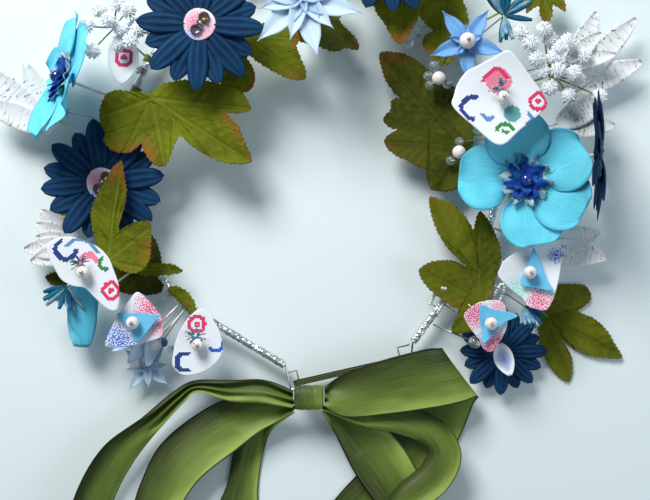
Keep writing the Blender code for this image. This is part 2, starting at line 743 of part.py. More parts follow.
def refined(stations, steps=2):
    """The stations with smooth ones added between them."""
    count = len(stations)
    found = []
    for i in range(count - 1):
        near = [stations[max(i - 1, 0)], stations[i], stations[i + 1], stations[min(i + 2, count - 1)]]
        for step in range(steps):
            found.append(Station(*(smooth_between(*v, step / steps) for v in zip(*near))))
    return [*found, stations[-1]]


def middle_of(station):
    """A station's place; its reach beyond the knot's side grows with the ring."""
    knot = knot_centre()
    side = math.copysign(RIBBON_START, station.x)
    reach = side + (station.x * MM - side) * RING_RADIUS / DRAWN_RING_RADIUS
    return Vector((knot.x + reach, knot.y + station.y * MM, station.z * MM))


def make_ribbon(name, stations, finish):
    """A strip of ribbon through the stations, as one closed plate."""
    shape = bmesh.new()
    lines = []
    for station in refined(stations):
        middle = middle_of(station)
        across = heading(station.heading) * math.cos(math.radians(station.tilt))
        across.z = math.sin(math.radians(station.tilt))
        half = across * RIBBON_WIDTH * station.gather / 2
        lines.append([shape.verts.new(middle + half), shape.verts.new(middle - half)])
    for line, following in zip(lines, lines[1:]):
        shape.faces.new((line[0], line[1], following[1], following[0]))
    strip = solidify(object_from_bmesh("strip", shape), RIBBON_THICKNESS)
    return combine(name, [strip], finish, middle_of(stations[0]))


def make_tie_band(finish):
    """A flat belt of ribbon that runs through both end loops."""
    left, right, along = tie_ends()
    length = (right - left).length
    arc = [math.radians(90 + 30 * i) for i in range(7)]
    oval = [(TIE_HALF_HEIGHT * math.cos(t), TIE_HALF_HEIGHT * math.sin(t)) for t in arc]
    oval += [(length - x, -z) for x, z in oval]
    shape = bmesh.new()
    sides = [
        [shape.verts.new((x, y * TIE_WIDTH / 2, z)) for x, z in oval]
        for y in (-1, 1)
    ]
    for i in range(len(oval)):
        k = (i + 1) % len(oval)
        shape.faces.new((sides[0][i], sides[0][k], sides[1][k], sides[1][i]))
    bmesh.ops.recalc_face_normals(shape, faces=shape.faces)
    band = solidify(object_from_bmesh("band", shape), RIBBON_THICKNESS)
    turn = Matrix.Rotation(math.atan2(along.y, along.x), 4, "Z")
    band.matrix_world = Matrix.Translation(left) @ turn
    return combine("tie_band", [band], finish, left)


def make_knot(finish):
    shape = bmesh.new()
    bmesh.ops.create_cube(shape, size=1.0)
    bmesh.ops.scale(shape, vec=KNOT_SIZE, verts=shape.verts)
    block = object_from_bmesh("knot", shape)
    bevel = block.modifiers.new("round", "BEVEL")
    bevel.width = KNOT_ROUNDING
    bevel.segments = 2
    block.matrix_world = Matrix.Translation(knot_centre())
    return combine("bow_knot", [block], finish, knot_centre())


def make_bow():
    finish = material("ribbon", RIBBON_GREEN, 0.45)
    make_tie_band(finish)
    make_knot(finish)
    make_ribbon("bow_loop_left", LEFT_LOOP, finish)
    make_ribbon("bow_loop_right", RIGHT_LOOP, finish)
    make_ribbon("tail_right", TAIL_RIGHT, finish)
    make_ribbon("tail_left", TAIL_LEFT, finish)


def main():
    clear_scene()
    make_ring_wire()
    make_foil_wrap()
    make_leaves()
    make_daisies()
    make_orchids()
    make_bud()
    make_print_petals()
    make_stars()
    make_paper_petals()
    make_sprays()
    make_bead_pin()
    make_bow()


main()
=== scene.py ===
"""Looks for a flower crown: fabric flowers, printed petals, leaves, pearls and a satin bow on a wire ring.

Every piece is a surface worked out on a grid, placed by the crown's own seats round the ring, and rides on
the rigid body that carries the solid it stands for. Lengths in the tables are millimetres.
"""

from __future__ import annotations

import json
import logging
import math
from collections.abc import Callable, Iterable, Sequence
from dataclasses import dataclass, field
from enum import Enum

import bmesh
import bpy
import numpy as np
from mathutils import Matrix, Vector

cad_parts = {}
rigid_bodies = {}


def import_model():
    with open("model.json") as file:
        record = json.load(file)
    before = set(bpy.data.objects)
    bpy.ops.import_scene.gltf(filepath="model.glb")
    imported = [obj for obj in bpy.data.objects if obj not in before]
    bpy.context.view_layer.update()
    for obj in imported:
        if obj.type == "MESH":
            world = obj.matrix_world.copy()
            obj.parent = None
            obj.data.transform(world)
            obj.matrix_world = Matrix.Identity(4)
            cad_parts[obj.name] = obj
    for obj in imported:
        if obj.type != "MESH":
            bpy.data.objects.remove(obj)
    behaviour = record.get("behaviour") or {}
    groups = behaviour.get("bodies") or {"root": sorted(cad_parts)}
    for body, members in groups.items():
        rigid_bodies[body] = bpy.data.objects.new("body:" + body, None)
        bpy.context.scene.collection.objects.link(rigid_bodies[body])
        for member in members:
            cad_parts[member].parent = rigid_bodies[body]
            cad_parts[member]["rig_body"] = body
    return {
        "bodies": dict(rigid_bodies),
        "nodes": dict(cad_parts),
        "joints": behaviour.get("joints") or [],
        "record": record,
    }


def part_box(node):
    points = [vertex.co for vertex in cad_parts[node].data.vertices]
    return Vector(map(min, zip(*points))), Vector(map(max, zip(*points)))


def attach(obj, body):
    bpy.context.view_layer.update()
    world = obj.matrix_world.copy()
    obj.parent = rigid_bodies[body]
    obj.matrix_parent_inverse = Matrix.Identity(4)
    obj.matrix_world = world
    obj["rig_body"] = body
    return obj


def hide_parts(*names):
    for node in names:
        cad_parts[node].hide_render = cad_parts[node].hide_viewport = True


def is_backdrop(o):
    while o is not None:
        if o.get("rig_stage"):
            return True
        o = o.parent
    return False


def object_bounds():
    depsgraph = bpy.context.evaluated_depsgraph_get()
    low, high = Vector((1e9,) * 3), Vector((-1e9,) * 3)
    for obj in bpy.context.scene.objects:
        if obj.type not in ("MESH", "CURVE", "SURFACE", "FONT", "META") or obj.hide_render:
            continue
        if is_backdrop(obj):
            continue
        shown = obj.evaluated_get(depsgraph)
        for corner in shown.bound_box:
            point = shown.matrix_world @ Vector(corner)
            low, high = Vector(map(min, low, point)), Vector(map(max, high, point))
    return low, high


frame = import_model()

LOG = logging.getLogger("crown")
MM = 0.001
MERGE_DISTANCE = 1e-6  # metres
CLOTH_GLOSS, SATIN_GLOSS = 0.12, 0.35  # how strongly dyed cloth and ribbon mirror what is round them
PRINT_SPAN = 100  # mm that one unit of a print's flat coordinates stands for
Colour = tuple[float, float, float]
Flat = tuple[float, float]  # a flat place in mm
Socket = bpy.types.NodeSocket
Value = float | Socket


def linear(colour: Colour) -> tuple[float, float, float, float]:
    """A colour given as sRGB 0 to 255, as linear RGBA.

    Args:
        colour: red, green and blue from 0 to 255.

    Returns:
        The four linear channels that a shader socket takes.
    """
    shares = [c / 255 for c in colour]
    return (*(c / 12.92 if c <= 0.04045 else ((c + 0.055) / 1.055) ** 2.4 for c in shares), 1.0)


# ------------------------------------------------------------------ surfaces

@dataclass
class Patch:
    """A grid of points with its flat coordinates and the marks that a finish reads."""

    points: np.ndarray  # rows, columns, 3, in metres
    uv: np.ndarray | None = None  # rows, columns, 2
    marks: dict[str, np.ndarray] = field(default_factory=dict)
    wrap: bool = False  # the last column joins the first

    def moved(self, matrix: np.ndarray) -> Patch:
        """The same patch turned and carried by a 4 by 4 matrix."""
        points = self.points @ matrix[:3, :3].T + matrix[:3, 3]
        return Patch(points, self.uv, self.marks, self.wrap)


def unit_grid(rows: int, columns: int, low: float = -1.0) -> tuple[np.ndarray, np.ndarray]:
    """Two parameter arrays: s from 0 to 1 down the rows, and t from low to 1 along the columns."""
    return np.meshgrid(np.linspace(0, 1, rows), np.linspace(low, 1, columns), indexing="ij")


def quads(rows: int, columns: int, wrap: bool, start: int) -> np.ndarray:
    """Corner numbers of every quad of a grid, counted from the first vertex's number.

    Args:
        rows: rows of vertices.
        columns: columns of vertices.
        wrap: whether the last column joins the first.
        start: number of the grid's first vertex.

    Returns:
        One row of four vertex numbers for each quad.
    """
    numbers = start + np.arange(rows * columns).reshape(rows, columns)
    if wrap:
        numbers = np.concatenate([numbers, numbers[:, :1]], axis=1)
    corners = [numbers[:-1, :-1], numbers[1:, :-1], numbers[1:, 1:], numbers[:-1, 1:]]
    return np.stack(corners, axis=-1).reshape(-1, 4)


def mesh_from(name: str, patches: Sequence[Patch], merge: bool = False) -> bpy.types.Mesh:
    """One mesh from patches laid out one after another, with a UV map and the marks as attributes.

    Args:
        name: the mesh's name.
        patches: the grids; each mark that one has, all may have, and 0 stands where one has none.
        merge: whether points that coincide become one, as at poles and seams.

    Returns:
        The finished mesh, shaded smooth.
    """
    points = np.concatenate([p.points.reshape(-1, 3) for p in patches])
    starts = np.cumsum([0, *(p.points.shape[0] * p.points.shape[1] for p in patches)])
    faces = np.concatenate(
        [quads(*p.points.shape[:2], p.wrap, start) for p, start in zip(patches, starts)]
    )
    mesh = bpy.data.meshes.new(name)
    mesh.vertices.add(len(points))
    mesh.vertices.foreach_set("co", points.astype(np.float32).ravel())
    mesh.loops.add(faces.size)
    mesh.loops.foreach_set("vertex_index", faces.astype(np.int32).ravel())
    mesh.polygons.add(len(faces))
    mesh.polygons.foreach_set("loop_start", np.arange(0, faces.size, 4, dtype=np.int32))
    mesh.update(calc_edges=True)
    blank = [np.zeros((*p.points.shape[:2], 2)) if p.uv is None else p.uv for p in patches]
    flat = np.concatenate([b.reshape(-1, 2) for b in blank])
    layer = mesh.uv_layers.new(name="UVMap")
    layer.data.foreach_set("uv", flat[faces.ravel()].astype(np.float32).ravel())
    for mark in sorted({key for p in patches for key in p.marks}):
        values = [p.marks.get(mark, np.zeros(p.points.shape[:2])).ravel() for p in patches]
        attribute = mesh.attributes.new(mark, "FLOAT", "POINT")
        attribute.data.foreach_set("value", np.concatenate(values).astype(np.float32))
    if merge:
        shape = bmesh.new()
        shape.from_mesh(mesh)
        bmesh.ops.remove_doubles(shape, verts=shape.verts, dist=MERGE_DISTANCE)
        bmesh.ops.dissolve_degenerate(shape, edges=shape.edges, dist=MERGE_DISTANCE)
        bmesh.ops.recalc_face_normals(shape, faces=shape.faces)
        shape.to_mesh(mesh)
        shape.free()
    mesh.polygons.foreach_set("use_smooth", np.ones(len(mesh.polygons), dtype=bool))
    mesh.validate()
    return mesh


def piece(
    name: str,
    patches: Sequence[Patch],
    finish: Finish,
    thickness: float = 0.0,
    merge: bool = False,
) -> bpy.types.Object:
    """A finished object from patches.

    Args:
        name: the piece's name.
        patches: its grids, in the crown's frame.
        finish: what it is covered with.
        thickness: the cloth's thickness in metres, or 0 for a closed surface.
        merge: see mesh_from.

    Returns:
        The object, in the scene.
    """
    mesh = mesh_from(name, patches, merge)
    mesh.materials.append(finish.material())
    obj = bpy.data.objects.new(name, mesh)
    bpy.context.scene.collection.objects.link(obj)
    if thickness:
        wall = obj.modifiers.new("thickness", "SOLIDIFY")
        wall.thickness = thickness
        wall.offset = 0.0
    return obj


# ------------------------------------------------------------------ shapes shared by many pieces

def turn_z(degrees: float) -> np.ndarray:
    """A 4 by 4 turn about the Z axis."""
    return np.array(Matrix.Rotation(math.radians(degrees), 4, "Z"))


def turn(axis: str, degrees: float) -> np.ndarray:
    """A 4 by 4 turn about a named axis."""
    return np.array(Matrix.Rotation(math.radians(degrees), 4, axis))


def shift(x: float = 0.0, y: float = 0.0, z: float = 0.0) -> np.ndarray:
    """A 4 by 4 move, given in metres."""
    return np.array(Matrix.Translation((x, y, z)))


def at(place: Sequence[float]) -> np.ndarray:
    """A 4 by 4 move to a place given in mm."""
    return shift(*(np.array(place) * MM))


def frame_along(route: np.ndarray) -> tuple[np.ndarray, np.ndarray, np.ndarray]:
    """Tangent, side and upper directions at each point of a route, without twist.

    Args:
        route: n by 3 points.

    Returns:
        Three n by 3 arrays of unit vectors.
    """
    tangent = np.gradient(route, axis=0)
    tangent /= np.linalg.norm(tangent, axis=1, keepdims=True)
    side = np.cross(tangent, (0.0, 0.0, 1.0))
    steep = np.linalg.norm(side, axis=1) < 1e-3
    side[steep] = np.cross(tangent[steep], (0.0, 1.0, 0.0))
    side /= np.linalg.norm(side, axis=1, keepdims=True)
    return tangent, side, np.cross(side, tangent)


def tube(route: np.ndarray, radius: float | np.ndarray, sides: int = 8) -> Patch:
    """A round tube: a circle of the given radius carried along a route, closed to a point at both ends.

    Args:
        route: n by 3 points in metres.
        radius: one radius, or one for each point, or a grid of n by sides.
        sides: points round the tube.

    Returns:
        The tube's patch; its UV runs along and round it.
    """
    given = np.asarray(radius, float)
    given = given if given.ndim > 1 else given.reshape(-1, 1)
    radius = np.broadcast_to(given, (len(route), sides))
    _, side, upper = frame_along(route)
    angle = np.linspace(0, 2 * np.pi, sides, endpoint=False)
    round_it = side[:, None] * np.cos(angle)[None, :, None] + upper[:, None] * np.sin(angle)[None, :, None]
    points = route[:, None] + round_it * radius[..., None]
    points = np.concatenate([route[None, :1].repeat(sides, 1), points, route[None, -1:].repeat(sides, 1)])
    s, t = np.meshgrid(np.linspace(0, 1, len(points)), angle / (2 * np.pi), indexing="ij")
    return Patch(points, np.stack([s, t], -1), wrap=True)


def stretches(stations: np.ndarray, steps: int) -> np.ndarray:
    """The Catmull-Rom curve from the second station to the last but one.

    Args:
        stations: one row of values for each station.
        steps: points from one station to the next.

    Returns:
        One row of values for each point of the curve.
    """
    share = np.linspace(0, 1, steps, endpoint=False)[None, :, None]
    before, here, after, beyond = (stations[i:len(stations) - 3 + i, None] for i in range(4))
    curve = 0.5 * (
        2 * here
        + (after - before) * share
        + (2 * before - 5 * here + 4 * after - beyond) * share**2
        + (3 * here - before - 3 * after + beyond) * share**3
    )
    return curve.reshape(-1, stations.shape[1])


def smooth_route(points: Sequence[Sequence[float]], steps: int = 8) -> np.ndarray:
    """A Catmull-Rom curve through points of any number of values.

    Args:
        points: the values at each station.
        steps: stretches between two stations.

    Returns:
        One row of values for each point of the curve.
    """
    values = np.asarray(points, float)
    padded = np.concatenate([values[:1], values, values[-1:]])
    return np.concatenate([stretches(padded, steps), values[-1:]])


def closed_outline(points: Sequence[Sequence[float]], steps: int = 8) -> np.ndarray:
    """A Catmull-Rom loop through flat points given in mm, as n by 2 points in metres.

    Args:
        points: the corners, in mm.
        steps: points from one corner to the next.

    Returns:
        The loop, n by 2, in metres.
    """
    corners = np.asarray(points, float)
    around = np.concatenate([corners[-1:], corners, corners[:2]])
    return stretches(around, steps) * MM


def evenly(loop: np.ndarray, count: int) -> np.ndarray:
    """A closed line's points again, at equal steps along it.

    Args:
        loop: the closed line's points.
        count: how many points to give.

    Returns:
        The new points, count by 2.
    """
    step = np.linalg.norm(np.diff(loop, axis=0, append=loop[:1]), axis=1)
    along = np.concatenate([[0], np.cumsum(step)])
    ends = np.concatenate([loop, loop[:1]])
    wanted = np.linspace(0, along[-1], count, endpoint=False)
    return np.stack([np.interp(wanted, along, ends[:, k]) for k in (0, 1)], -1)


def turned(profile: Sequence[tuple[float, float]], sides: int = 24) -> Patch:
    """A profile of (radius, height) in metres turned about the Z axis.

    Args:
        profile: radius and height pairs.
        sides: points round the axis.

    Returns:
        The closed surface.
    """
    outline = np.asarray(profile, float)
    angle = np.linspace(0, 2 * np.pi, sides, endpoint=False)
    radius, height = outline[:, :1], outline[:, 1:]
    points = np.stack([radius * np.cos(angle), radius * np.sin(angle), height + 0 * angle], -1)
    s, t = np.meshgrid(np.linspace(0, 1, len(outline)), angle / (2 * np.pi), indexing="ij")
    return Patch(points, np.stack([s, t], -1), wrap=True)


def globe(radius: float, sides: int = 24, rings: int = 14) -> Patch:
    """A ball: the half circle from pole to pole, turned."""
    polar = np.linspace(0, np.pi, rings)
    return turned(np.stack([radius * np.sin(polar), -radius * np.cos(polar)], -1), sides)


def strewn(patch: Patch, places: np.ndarray) -> list[Patch]:
    """Copies of a small patch at each of the places."""
    return [Patch(patch.points + place, patch.uv, patch.marks, patch.wrap) for place in places]


def petal(
    length: float,
    width: float,
    outline: Callable[[np.ndarray], np.ndarray],
    relief: Callable[[np.ndarray, np.ndarray], np.ndarray],
    rows: int = 18,
    columns: int = 11,
    shade: float = 0.0,
) -> Patch:
    """A petal along +X: its half width is width / 2 times outline(s), its height is relief(s, t).

    Args:
        length: from base to tip, in metres.
        width: across the widest place, in metres.
        outline: share of the width at s, from 0 at the base to 1 at the tip.
        relief: height in metres at s and t, with t from -1 to 1 across.
        rows: points along.
        columns: points across.
        shade: this petal's own lightness, for the finish.

    Returns:
        The petal's patch.
    """
    s, t = unit_grid(rows, columns)
    points = np.stack([s * length, t * outline(s) * width / 2, relief(s, t)], -1)
    # Where the petal's lengthwise ridges lie; the daisy cloth paints highlight on them and shade between them.
    ridge = 0.5 + 0.5 * np.cos(3 * np.pi * t)
    marks = {"shade": np.full_like(s, shade), "along": s, "across": np.abs(t), "ridge": ridge}
    return Patch(points, np.stack([s, (t + 1) / 2], -1), marks)


def fan(
    outline: np.ndarray,
    rings: int,
    height: Callable[[np.ndarray, np.ndarray], np.ndarray],
    middle: tuple[float, float] = (0.0, 0.0),
) -> Patch:
    """A plate with a star-shaped outline: rings of points from the middle out to the outline.

    Args:
        outline: n by 2 points in metres, once round.
        rings: points from the middle to the edge.
        height: height in metres over the points x, y.
        middle: the point that sees the whole outline, in mm.

    Returns:
        The plate's patch; its UV is the flat place over PRINT_SPAN, with 0.5 at the origin.
    """
    share = np.linspace(0, 1, rings)[:, None] ** 0.85
    start_x, start_y = middle[0] * MM, middle[1] * MM
    x = start_x + share * (outline[:, 0] - start_x)
    y = start_y + share * (outline[:, 1] - start_y)
    points = np.stack([x, y, height(x, y)], -1)
    marks = {"rim": np.broadcast_to(share, x.shape)}
    return Patch(points, np.stack([x, y], -1) / (PRINT_SPAN * MM) + 0.5, marks, wrap=True)


# ------------------------------------------------------------------ shader graphs

class Graph:
    """Adds nodes to one node tree in few words; a value may be a number or another node's socket."""

    def __init__(self, tree: bpy.types.NodeTree) -> None:
        """Keeps the tree that the nodes go into."""
        self.tree = tree

    def node(self, kind: str, **settings: object) -> bpy.types.Node:
        """A new node of this kind with these properties.

        Args:
            kind: the node's type.
            settings: its properties.

        Returns:
            The node.
        """
        made = self.tree.nodes.new(kind)
        for key, value in settings.items():
            setattr(made, key, value)
        return made

    def put(self, socket: Socket, value: Value | Colour) -> None:
        """Links a socket's source, or sets its constant.

        Args:
            socket: the input to fill.
            value: a number, a colour or another node's output.
        """
        if isinstance(value, bpy.types.NodeSocket):
            self.tree.links.new(value, socket)
        else:
            socket.default_value = value

    def math(self, operation: str, first: Value, second: Value = 0.0, clamp: bool = False) -> Socket:
        """The result of one arithmetic step.

        Args:
            operation: the step's name.
            first: the first value.
            second: the second value.
            clamp: keep the result between 0 and 1.

        Returns:
            The result.
        """
        made = self.node("ShaderNodeMath", operation=operation, use_clamp=clamp)
        self.put(made.inputs[0], first)
        self.put(made.inputs[1], second)
        return made.outputs[0]

    def spread(self, value: Value, low: float, high: float, smooth: bool = True) -> Socket:
        """0 where value is at low, 1 where it is at high, and between them between.

        Args:
            value: a number, a colour or another node's output.
            low: the value that gives 0.
            high: the value that gives 1.
            smooth: ease in and out.

        Returns:
            The result, 0 to 1.
        """
        made = self.node("ShaderNodeMapRange", interpolation_type="SMOOTHSTEP" if smooth else "LINEAR")
        self.put(made.inputs["Value"], value)
        made.inputs["From Min"].default_value = min(low, high)
        made.inputs["From Max"].default_value = max(low, high)
        made.inputs["To Min"].default_value = float(low > high)
        made.inputs["To Max"].default_value = float(low < high)
        return made.outputs["Result"]

    def blend(self, share: Value, first: Colour | Socket, second: Colour | Socket) -> Socket:
        """A colour part way from the first to the second.

        Args:
            share: how much of the second, 0 to 1.
            first: the first value.
            second: the second value.

        Returns:
            The colour.
        """
        made = self.node("ShaderNodeMix", data_type="RGBA", clamp_factor=True)
        self.put(made.inputs[0], share)
        for socket, colour in ((made.inputs[6], first), (made.inputs[7], second)):
            self.put(socket, colour if isinstance(colour, bpy.types.NodeSocket) else linear(colour))
        return made.outputs[2]

    def noise(self, vector: Socket, scale: float, detail: float = 3.0) -> Socket:
        """Soft noise from 0 to 1.

        Args:
            vector: the place to read at.
            scale: how fine it is.
            detail: how many finer layers it has.

        Returns:
            The noise.
        """
        made = self.node("ShaderNodeTexNoise")
        self.put(made.inputs["Vector"], vector)
        made.inputs["Scale"].default_value = scale
        made.inputs["Detail"].default_value = detail
        return made.outputs["Fac"]

    def stretched(self, vector: Socket, scale: Sequence[float]) -> Socket:
        """A vector scaled by its own number on each axis.

        Args:
            vector: the place to read at.
            scale: how fine it is.

        Returns:
            The scaled vector.
        """
        made = self.node("ShaderNodeMapping")
        self.put(made.inputs["Vector"], vector)
        made.inputs["Scale"].default_value = scale
        return made.outputs["Vector"]

    def place(self, output: str = "Object") -> Socket:
        """The piece's own coordinates."""
        return self.node("ShaderNodeTexCoord").outputs[output]

    def mark(self, name: str) -> Socket:
        """The value of one of the mesh's marks."""
        return self.node("ShaderNodeAttribute", attribute_name=name).outputs["Fac"]

    def group(self, tree: bpy.types.NodeTree, **values: Value) -> bpy.types.Node:
        """A placed node group; a keyword names an input, with _ for a space.

        Args:
            tree: the group to place.
            values: its inputs.

        Returns:
            The placed group.
        """
        made = self.node("ShaderNodeGroup")
        made.node_tree = tree
        for key, value in values.items():
            self.put(made.inputs[key.replace("_", " ")], value)
        return made

    def bump(self, height: Socket, distance: float, strength: float = 1.0) -> Socket:
        """A surface direction from a height in metres.

        Args:
            height: the height to follow.
            distance: metres for a height of 1.
            strength: how much of it shows.

        Returns:
            The direction.
        """
        made = self.node("ShaderNodeBump")
        made.inputs["Strength"].default_value = strength
        made.inputs["Distance"].default_value = distance
        self.put(made.inputs["Height"], height)
        return made.outputs["Normal"]


class Effect(Enum):
    """Effects that several finishes share, each a node group built once."""

    WEAVE = "weave"
    STITCHED_RING = "stitched_ring"
    SPECKLE = "speckle"

    def tree(self) -> bpy.types.NodeTree:
        """The effect's node group, made the first time it is asked for."""
        found = bpy.data.node_groups.get(self.value)
        return found if found else getattr(self, f"_{self.value}")()

    def _new(self, inputs: dict[str, str], outputs: Iterable[str]) -> tuple[Graph, dict, dict]:
        """An empty group with these inputs, by name and socket type, and these value outputs.

        Args:
            inputs: names and socket types.
            outputs: names of the value outputs.

        Returns:
            The graph, the group's given values and its results.
        """
        tree = bpy.data.node_groups.new(self.value, "ShaderNodeTree")
        for name, kind in inputs.items():
            tree.interface.new_socket(name, in_out="INPUT", socket_type=f"NodeSocket{kind}")
        for name in outputs:
            tree.interface.new_socket(name, in_out="OUTPUT", socket_type="NodeSocketFloat")
        graph = Graph(tree)
        return graph, graph.node("NodeGroupInput").outputs, graph.node("NodeGroupOutput").inputs

    def _weave(self) -> bpy.types.NodeTree:
        """Cloth's crossing threads: the greater of two waves at right angles, broken up by noise.

        Returns:
            The group.
        """
        graph, given, result = self._new({"Vector": "Vector", "Threads": "Float"}, ("Height", "Tone"))
        waves = []
        for direction in ("X", "Y"):
            wave = graph.node("ShaderNodeTexWave", bands_direction=direction)
            graph.put(wave.inputs["Vector"], given["Vector"])
            graph.put(wave.inputs["Scale"], given["Threads"])
            wave.inputs["Distortion"].default_value = 1.5
            waves.append(wave.outputs["Fac"])
        graph.put(result["Height"], graph.math("MAXIMUM", waves[0], waves[1]))
        graph.put(result["Tone"], graph.noise(given["Vector"], 160.0, 4.0))
        return graph.tree

    def _stitched_ring(self) -> bpy.types.NodeTree:
        """A cross-stitched arc: cells whose middle lies within a band round a centre, over a sweep of angle.

        Returns:
            The group.
        """
        inputs = {name: "Float" for name in ("Centre X", "Centre Y", "Radius", "Width", "From", "Sweep")}
        graph, given, result = self._new({"Vector": "Vector", "Cell": "Float", **inputs}, ("Mask",))
        apart = graph.node("ShaderNodeSeparateXYZ")
        graph.put(apart.inputs[0], given["Vector"])
        offsets = []
        for axis, centre in (("X", "Centre X"), ("Y", "Centre Y")):
            cell = graph.math("SNAP", apart.outputs[axis], given["Cell"])
            offsets.append(graph.math("SUBTRACT", cell, given[centre]))
        square = [graph.math("POWER", graph.math("ABSOLUTE", o), 2.6) for o in offsets]
        distance = graph.math("POWER", graph.math("ADD", *square), 1 / 2.6)
        off_band = graph.math("ABSOLUTE", graph.math("SUBTRACT", distance, given["Radius"]))
        in_band = graph.math("LESS_THAN", off_band, graph.math("MULTIPLY", given["Width"], 0.5))
        angle = graph.math("SUBTRACT", graph.math("ARCTAN2", offsets[1], offsets[0]), given["From"])
        turns = graph.math("FRACT", graph.math("DIVIDE", angle, 2 * math.pi))
        in_sweep = graph.math("LESS_THAN", turns, given["Sweep"])
        graph.put(result["Mask"], graph.math("MULTIPLY", in_band, in_sweep))
        return graph.tree

    def _speckle(self) -> bpy.types.NodeTree:
        """A round field of small printed dots that thin out towards its edge.

        Returns:
            The group.
        """
        inputs = {name: "Float" for name in ("Centre X", "Centre Y", "Radius", "Fineness")}
        graph, given, result = self._new({"Vector": "Vector", **inputs}, ("Mask",))
        apart = graph.node("ShaderNodeSeparateXYZ")
        graph.put(apart.inputs[0], given["Vector"])
        across = graph.math("SUBTRACT", apart.outputs["X"], given["Centre X"])
        along = graph.math("SUBTRACT", apart.outputs["Y"], given["Centre Y"])
        squares = [graph.math("POWER", way, 2.0) for way in (across, along)]
        distance = graph.math("SQRT", graph.math("ADD", *squares))
        share = graph.math("SUBTRACT", 1.0, graph.math("DIVIDE", distance, given["Radius"]), clamp=True)
        dots = graph.node("ShaderNodeTexNoise")
        graph.put(dots.inputs["Vector"], given["Vector"])
        graph.put(dots.inputs["Scale"], given["Fineness"])
        dots.inputs["Detail"].default_value = 1.0
        edge = graph.math("SUBTRACT", 0.66, graph.math("MULTIPLY", graph.math("POWER", share, 0.4), 0.22))
        inked = graph.math("GREATER_THAN", dots.outputs["Fac"], edge)
        inside = graph.math("GREATER_THAN", share, 0.001)
        graph.put(result["Mask"], graph.math("MULTIPLY", inked, inside))
        return graph.tree


# ------------------------------------------------------------------ finishes

@dataclass(frozen=True)
class Finish:
    """A finish with a name; each kind lays its own nodes."""

    name: str

    def material(self) -> bpy.types.Material:
        """The finish's material, made the first time it is asked for.

        Returns:
            The material.
        """
        found = bpy.data.materials.get(self.name)
        if found:
            return found
        made = bpy.data.materials.new(self.name)
        made.use_nodes = True
        graph = Graph(made.node_tree)
        self.lay(graph, made.node_tree.nodes["Principled BSDF"])
        return made

    def lay(self, graph: Graph, shader: bpy.types.Node) -> None:
        """Adds the finish's nodes and sets the shader."""
        raise NotImplementedError


@dataclass(frozen=True)
class PetalCloth(Finish):
    """Dyed petal cloth: deep near the heart and at the edge, painted highlight on streaks and raised lines,
    painted shade in grooves, each petal its own tone.
    """

    # light is also laid on as painted highlight, and deep as painted shade in the grooves
    deep: Colour
    middle: Colour
    light: Colour
    roughness: float = 0.7
    # ridge: how strongly painted highlight shows along the streaks
    ridge: float = 0.5
    lines: float = 0.0  # how strongly the painted highlight on the pressed ridges and the painted shade in the grooves between them show
    sheen: float = 0.04

    def lay(self, graph: Graph, shader: bpy.types.Node) -> None:
        """Colour by the place along the petal, painted highlight on streaks along it and on raised lines with
        painted shade in their grooves, its own tone, and a fine weave.

        Args:
            graph: the material's nodes.
            shader: the material's surface node.
        """
        along, across, shade = (graph.mark(name) for name in ("along", "across", "shade"))
        streaks = graph.noise(graph.stretched(graph.place("UV"), (2.0, 16.0, 1.0)), 1.4, 4.0)
        cloudy = graph.noise(graph.place(), 90.0, 5.0)
        body = graph.blend(graph.spread(along, 0.0, 0.5), self.deep, self.middle)
        # Painted highlight along the streaks, which the bump also raises.
        lit = graph.math("MULTIPLY", graph.spread(streaks, 0.42, 0.68), self.ridge)
        body = graph.blend(lit, body, self.light)
        if self.lines:
            # Painted highlight on the raised lines and painted shade in the grooves between them.
            pressed = graph.mark("ridge")
            raised = graph.math("MULTIPLY", graph.spread(pressed, 0.6, 1.0), self.lines)
            sunk = graph.math("MULTIPLY", graph.spread(pressed, 0.3, 0.0), self.lines)
            body = graph.blend(sunk, graph.blend(raised, body, self.light), self.deep)
        body = graph.blend(graph.math("MULTIPLY", graph.spread(across, 0.8, 1.0), 0.35), body, self.deep)
        body = graph.blend(graph.math("MULTIPLY", graph.spread(cloudy, 0.35, 0.75), 0.25), body, self.light)
        body = graph.blend(graph.math("MULTIPLY", shade, 0.5), body, self.deep)
        graph.put(shader.inputs["Base Color"], body)
        weave = graph.group(Effect.WEAVE.tree(), Vector=graph.place(), Threads=420.0)
        rough = graph.math("ADD", graph.math("MULTIPLY", weave.outputs["Tone"], 0.2), self.roughness - 0.1)
        graph.put(shader.inputs["Roughness"], rough)
        height = graph.math("ADD", weave.outputs["Height"], graph.math("MULTIPLY", streaks, 4.0))
        graph.put(shader.inputs["Normal"], graph.bump(height, 0.00006))
        shader.inputs["Sheen Weight"].default_value = self.sheen
        shader.inputs["Specular IOR Level"].default_value = CLOTH_GLOSS


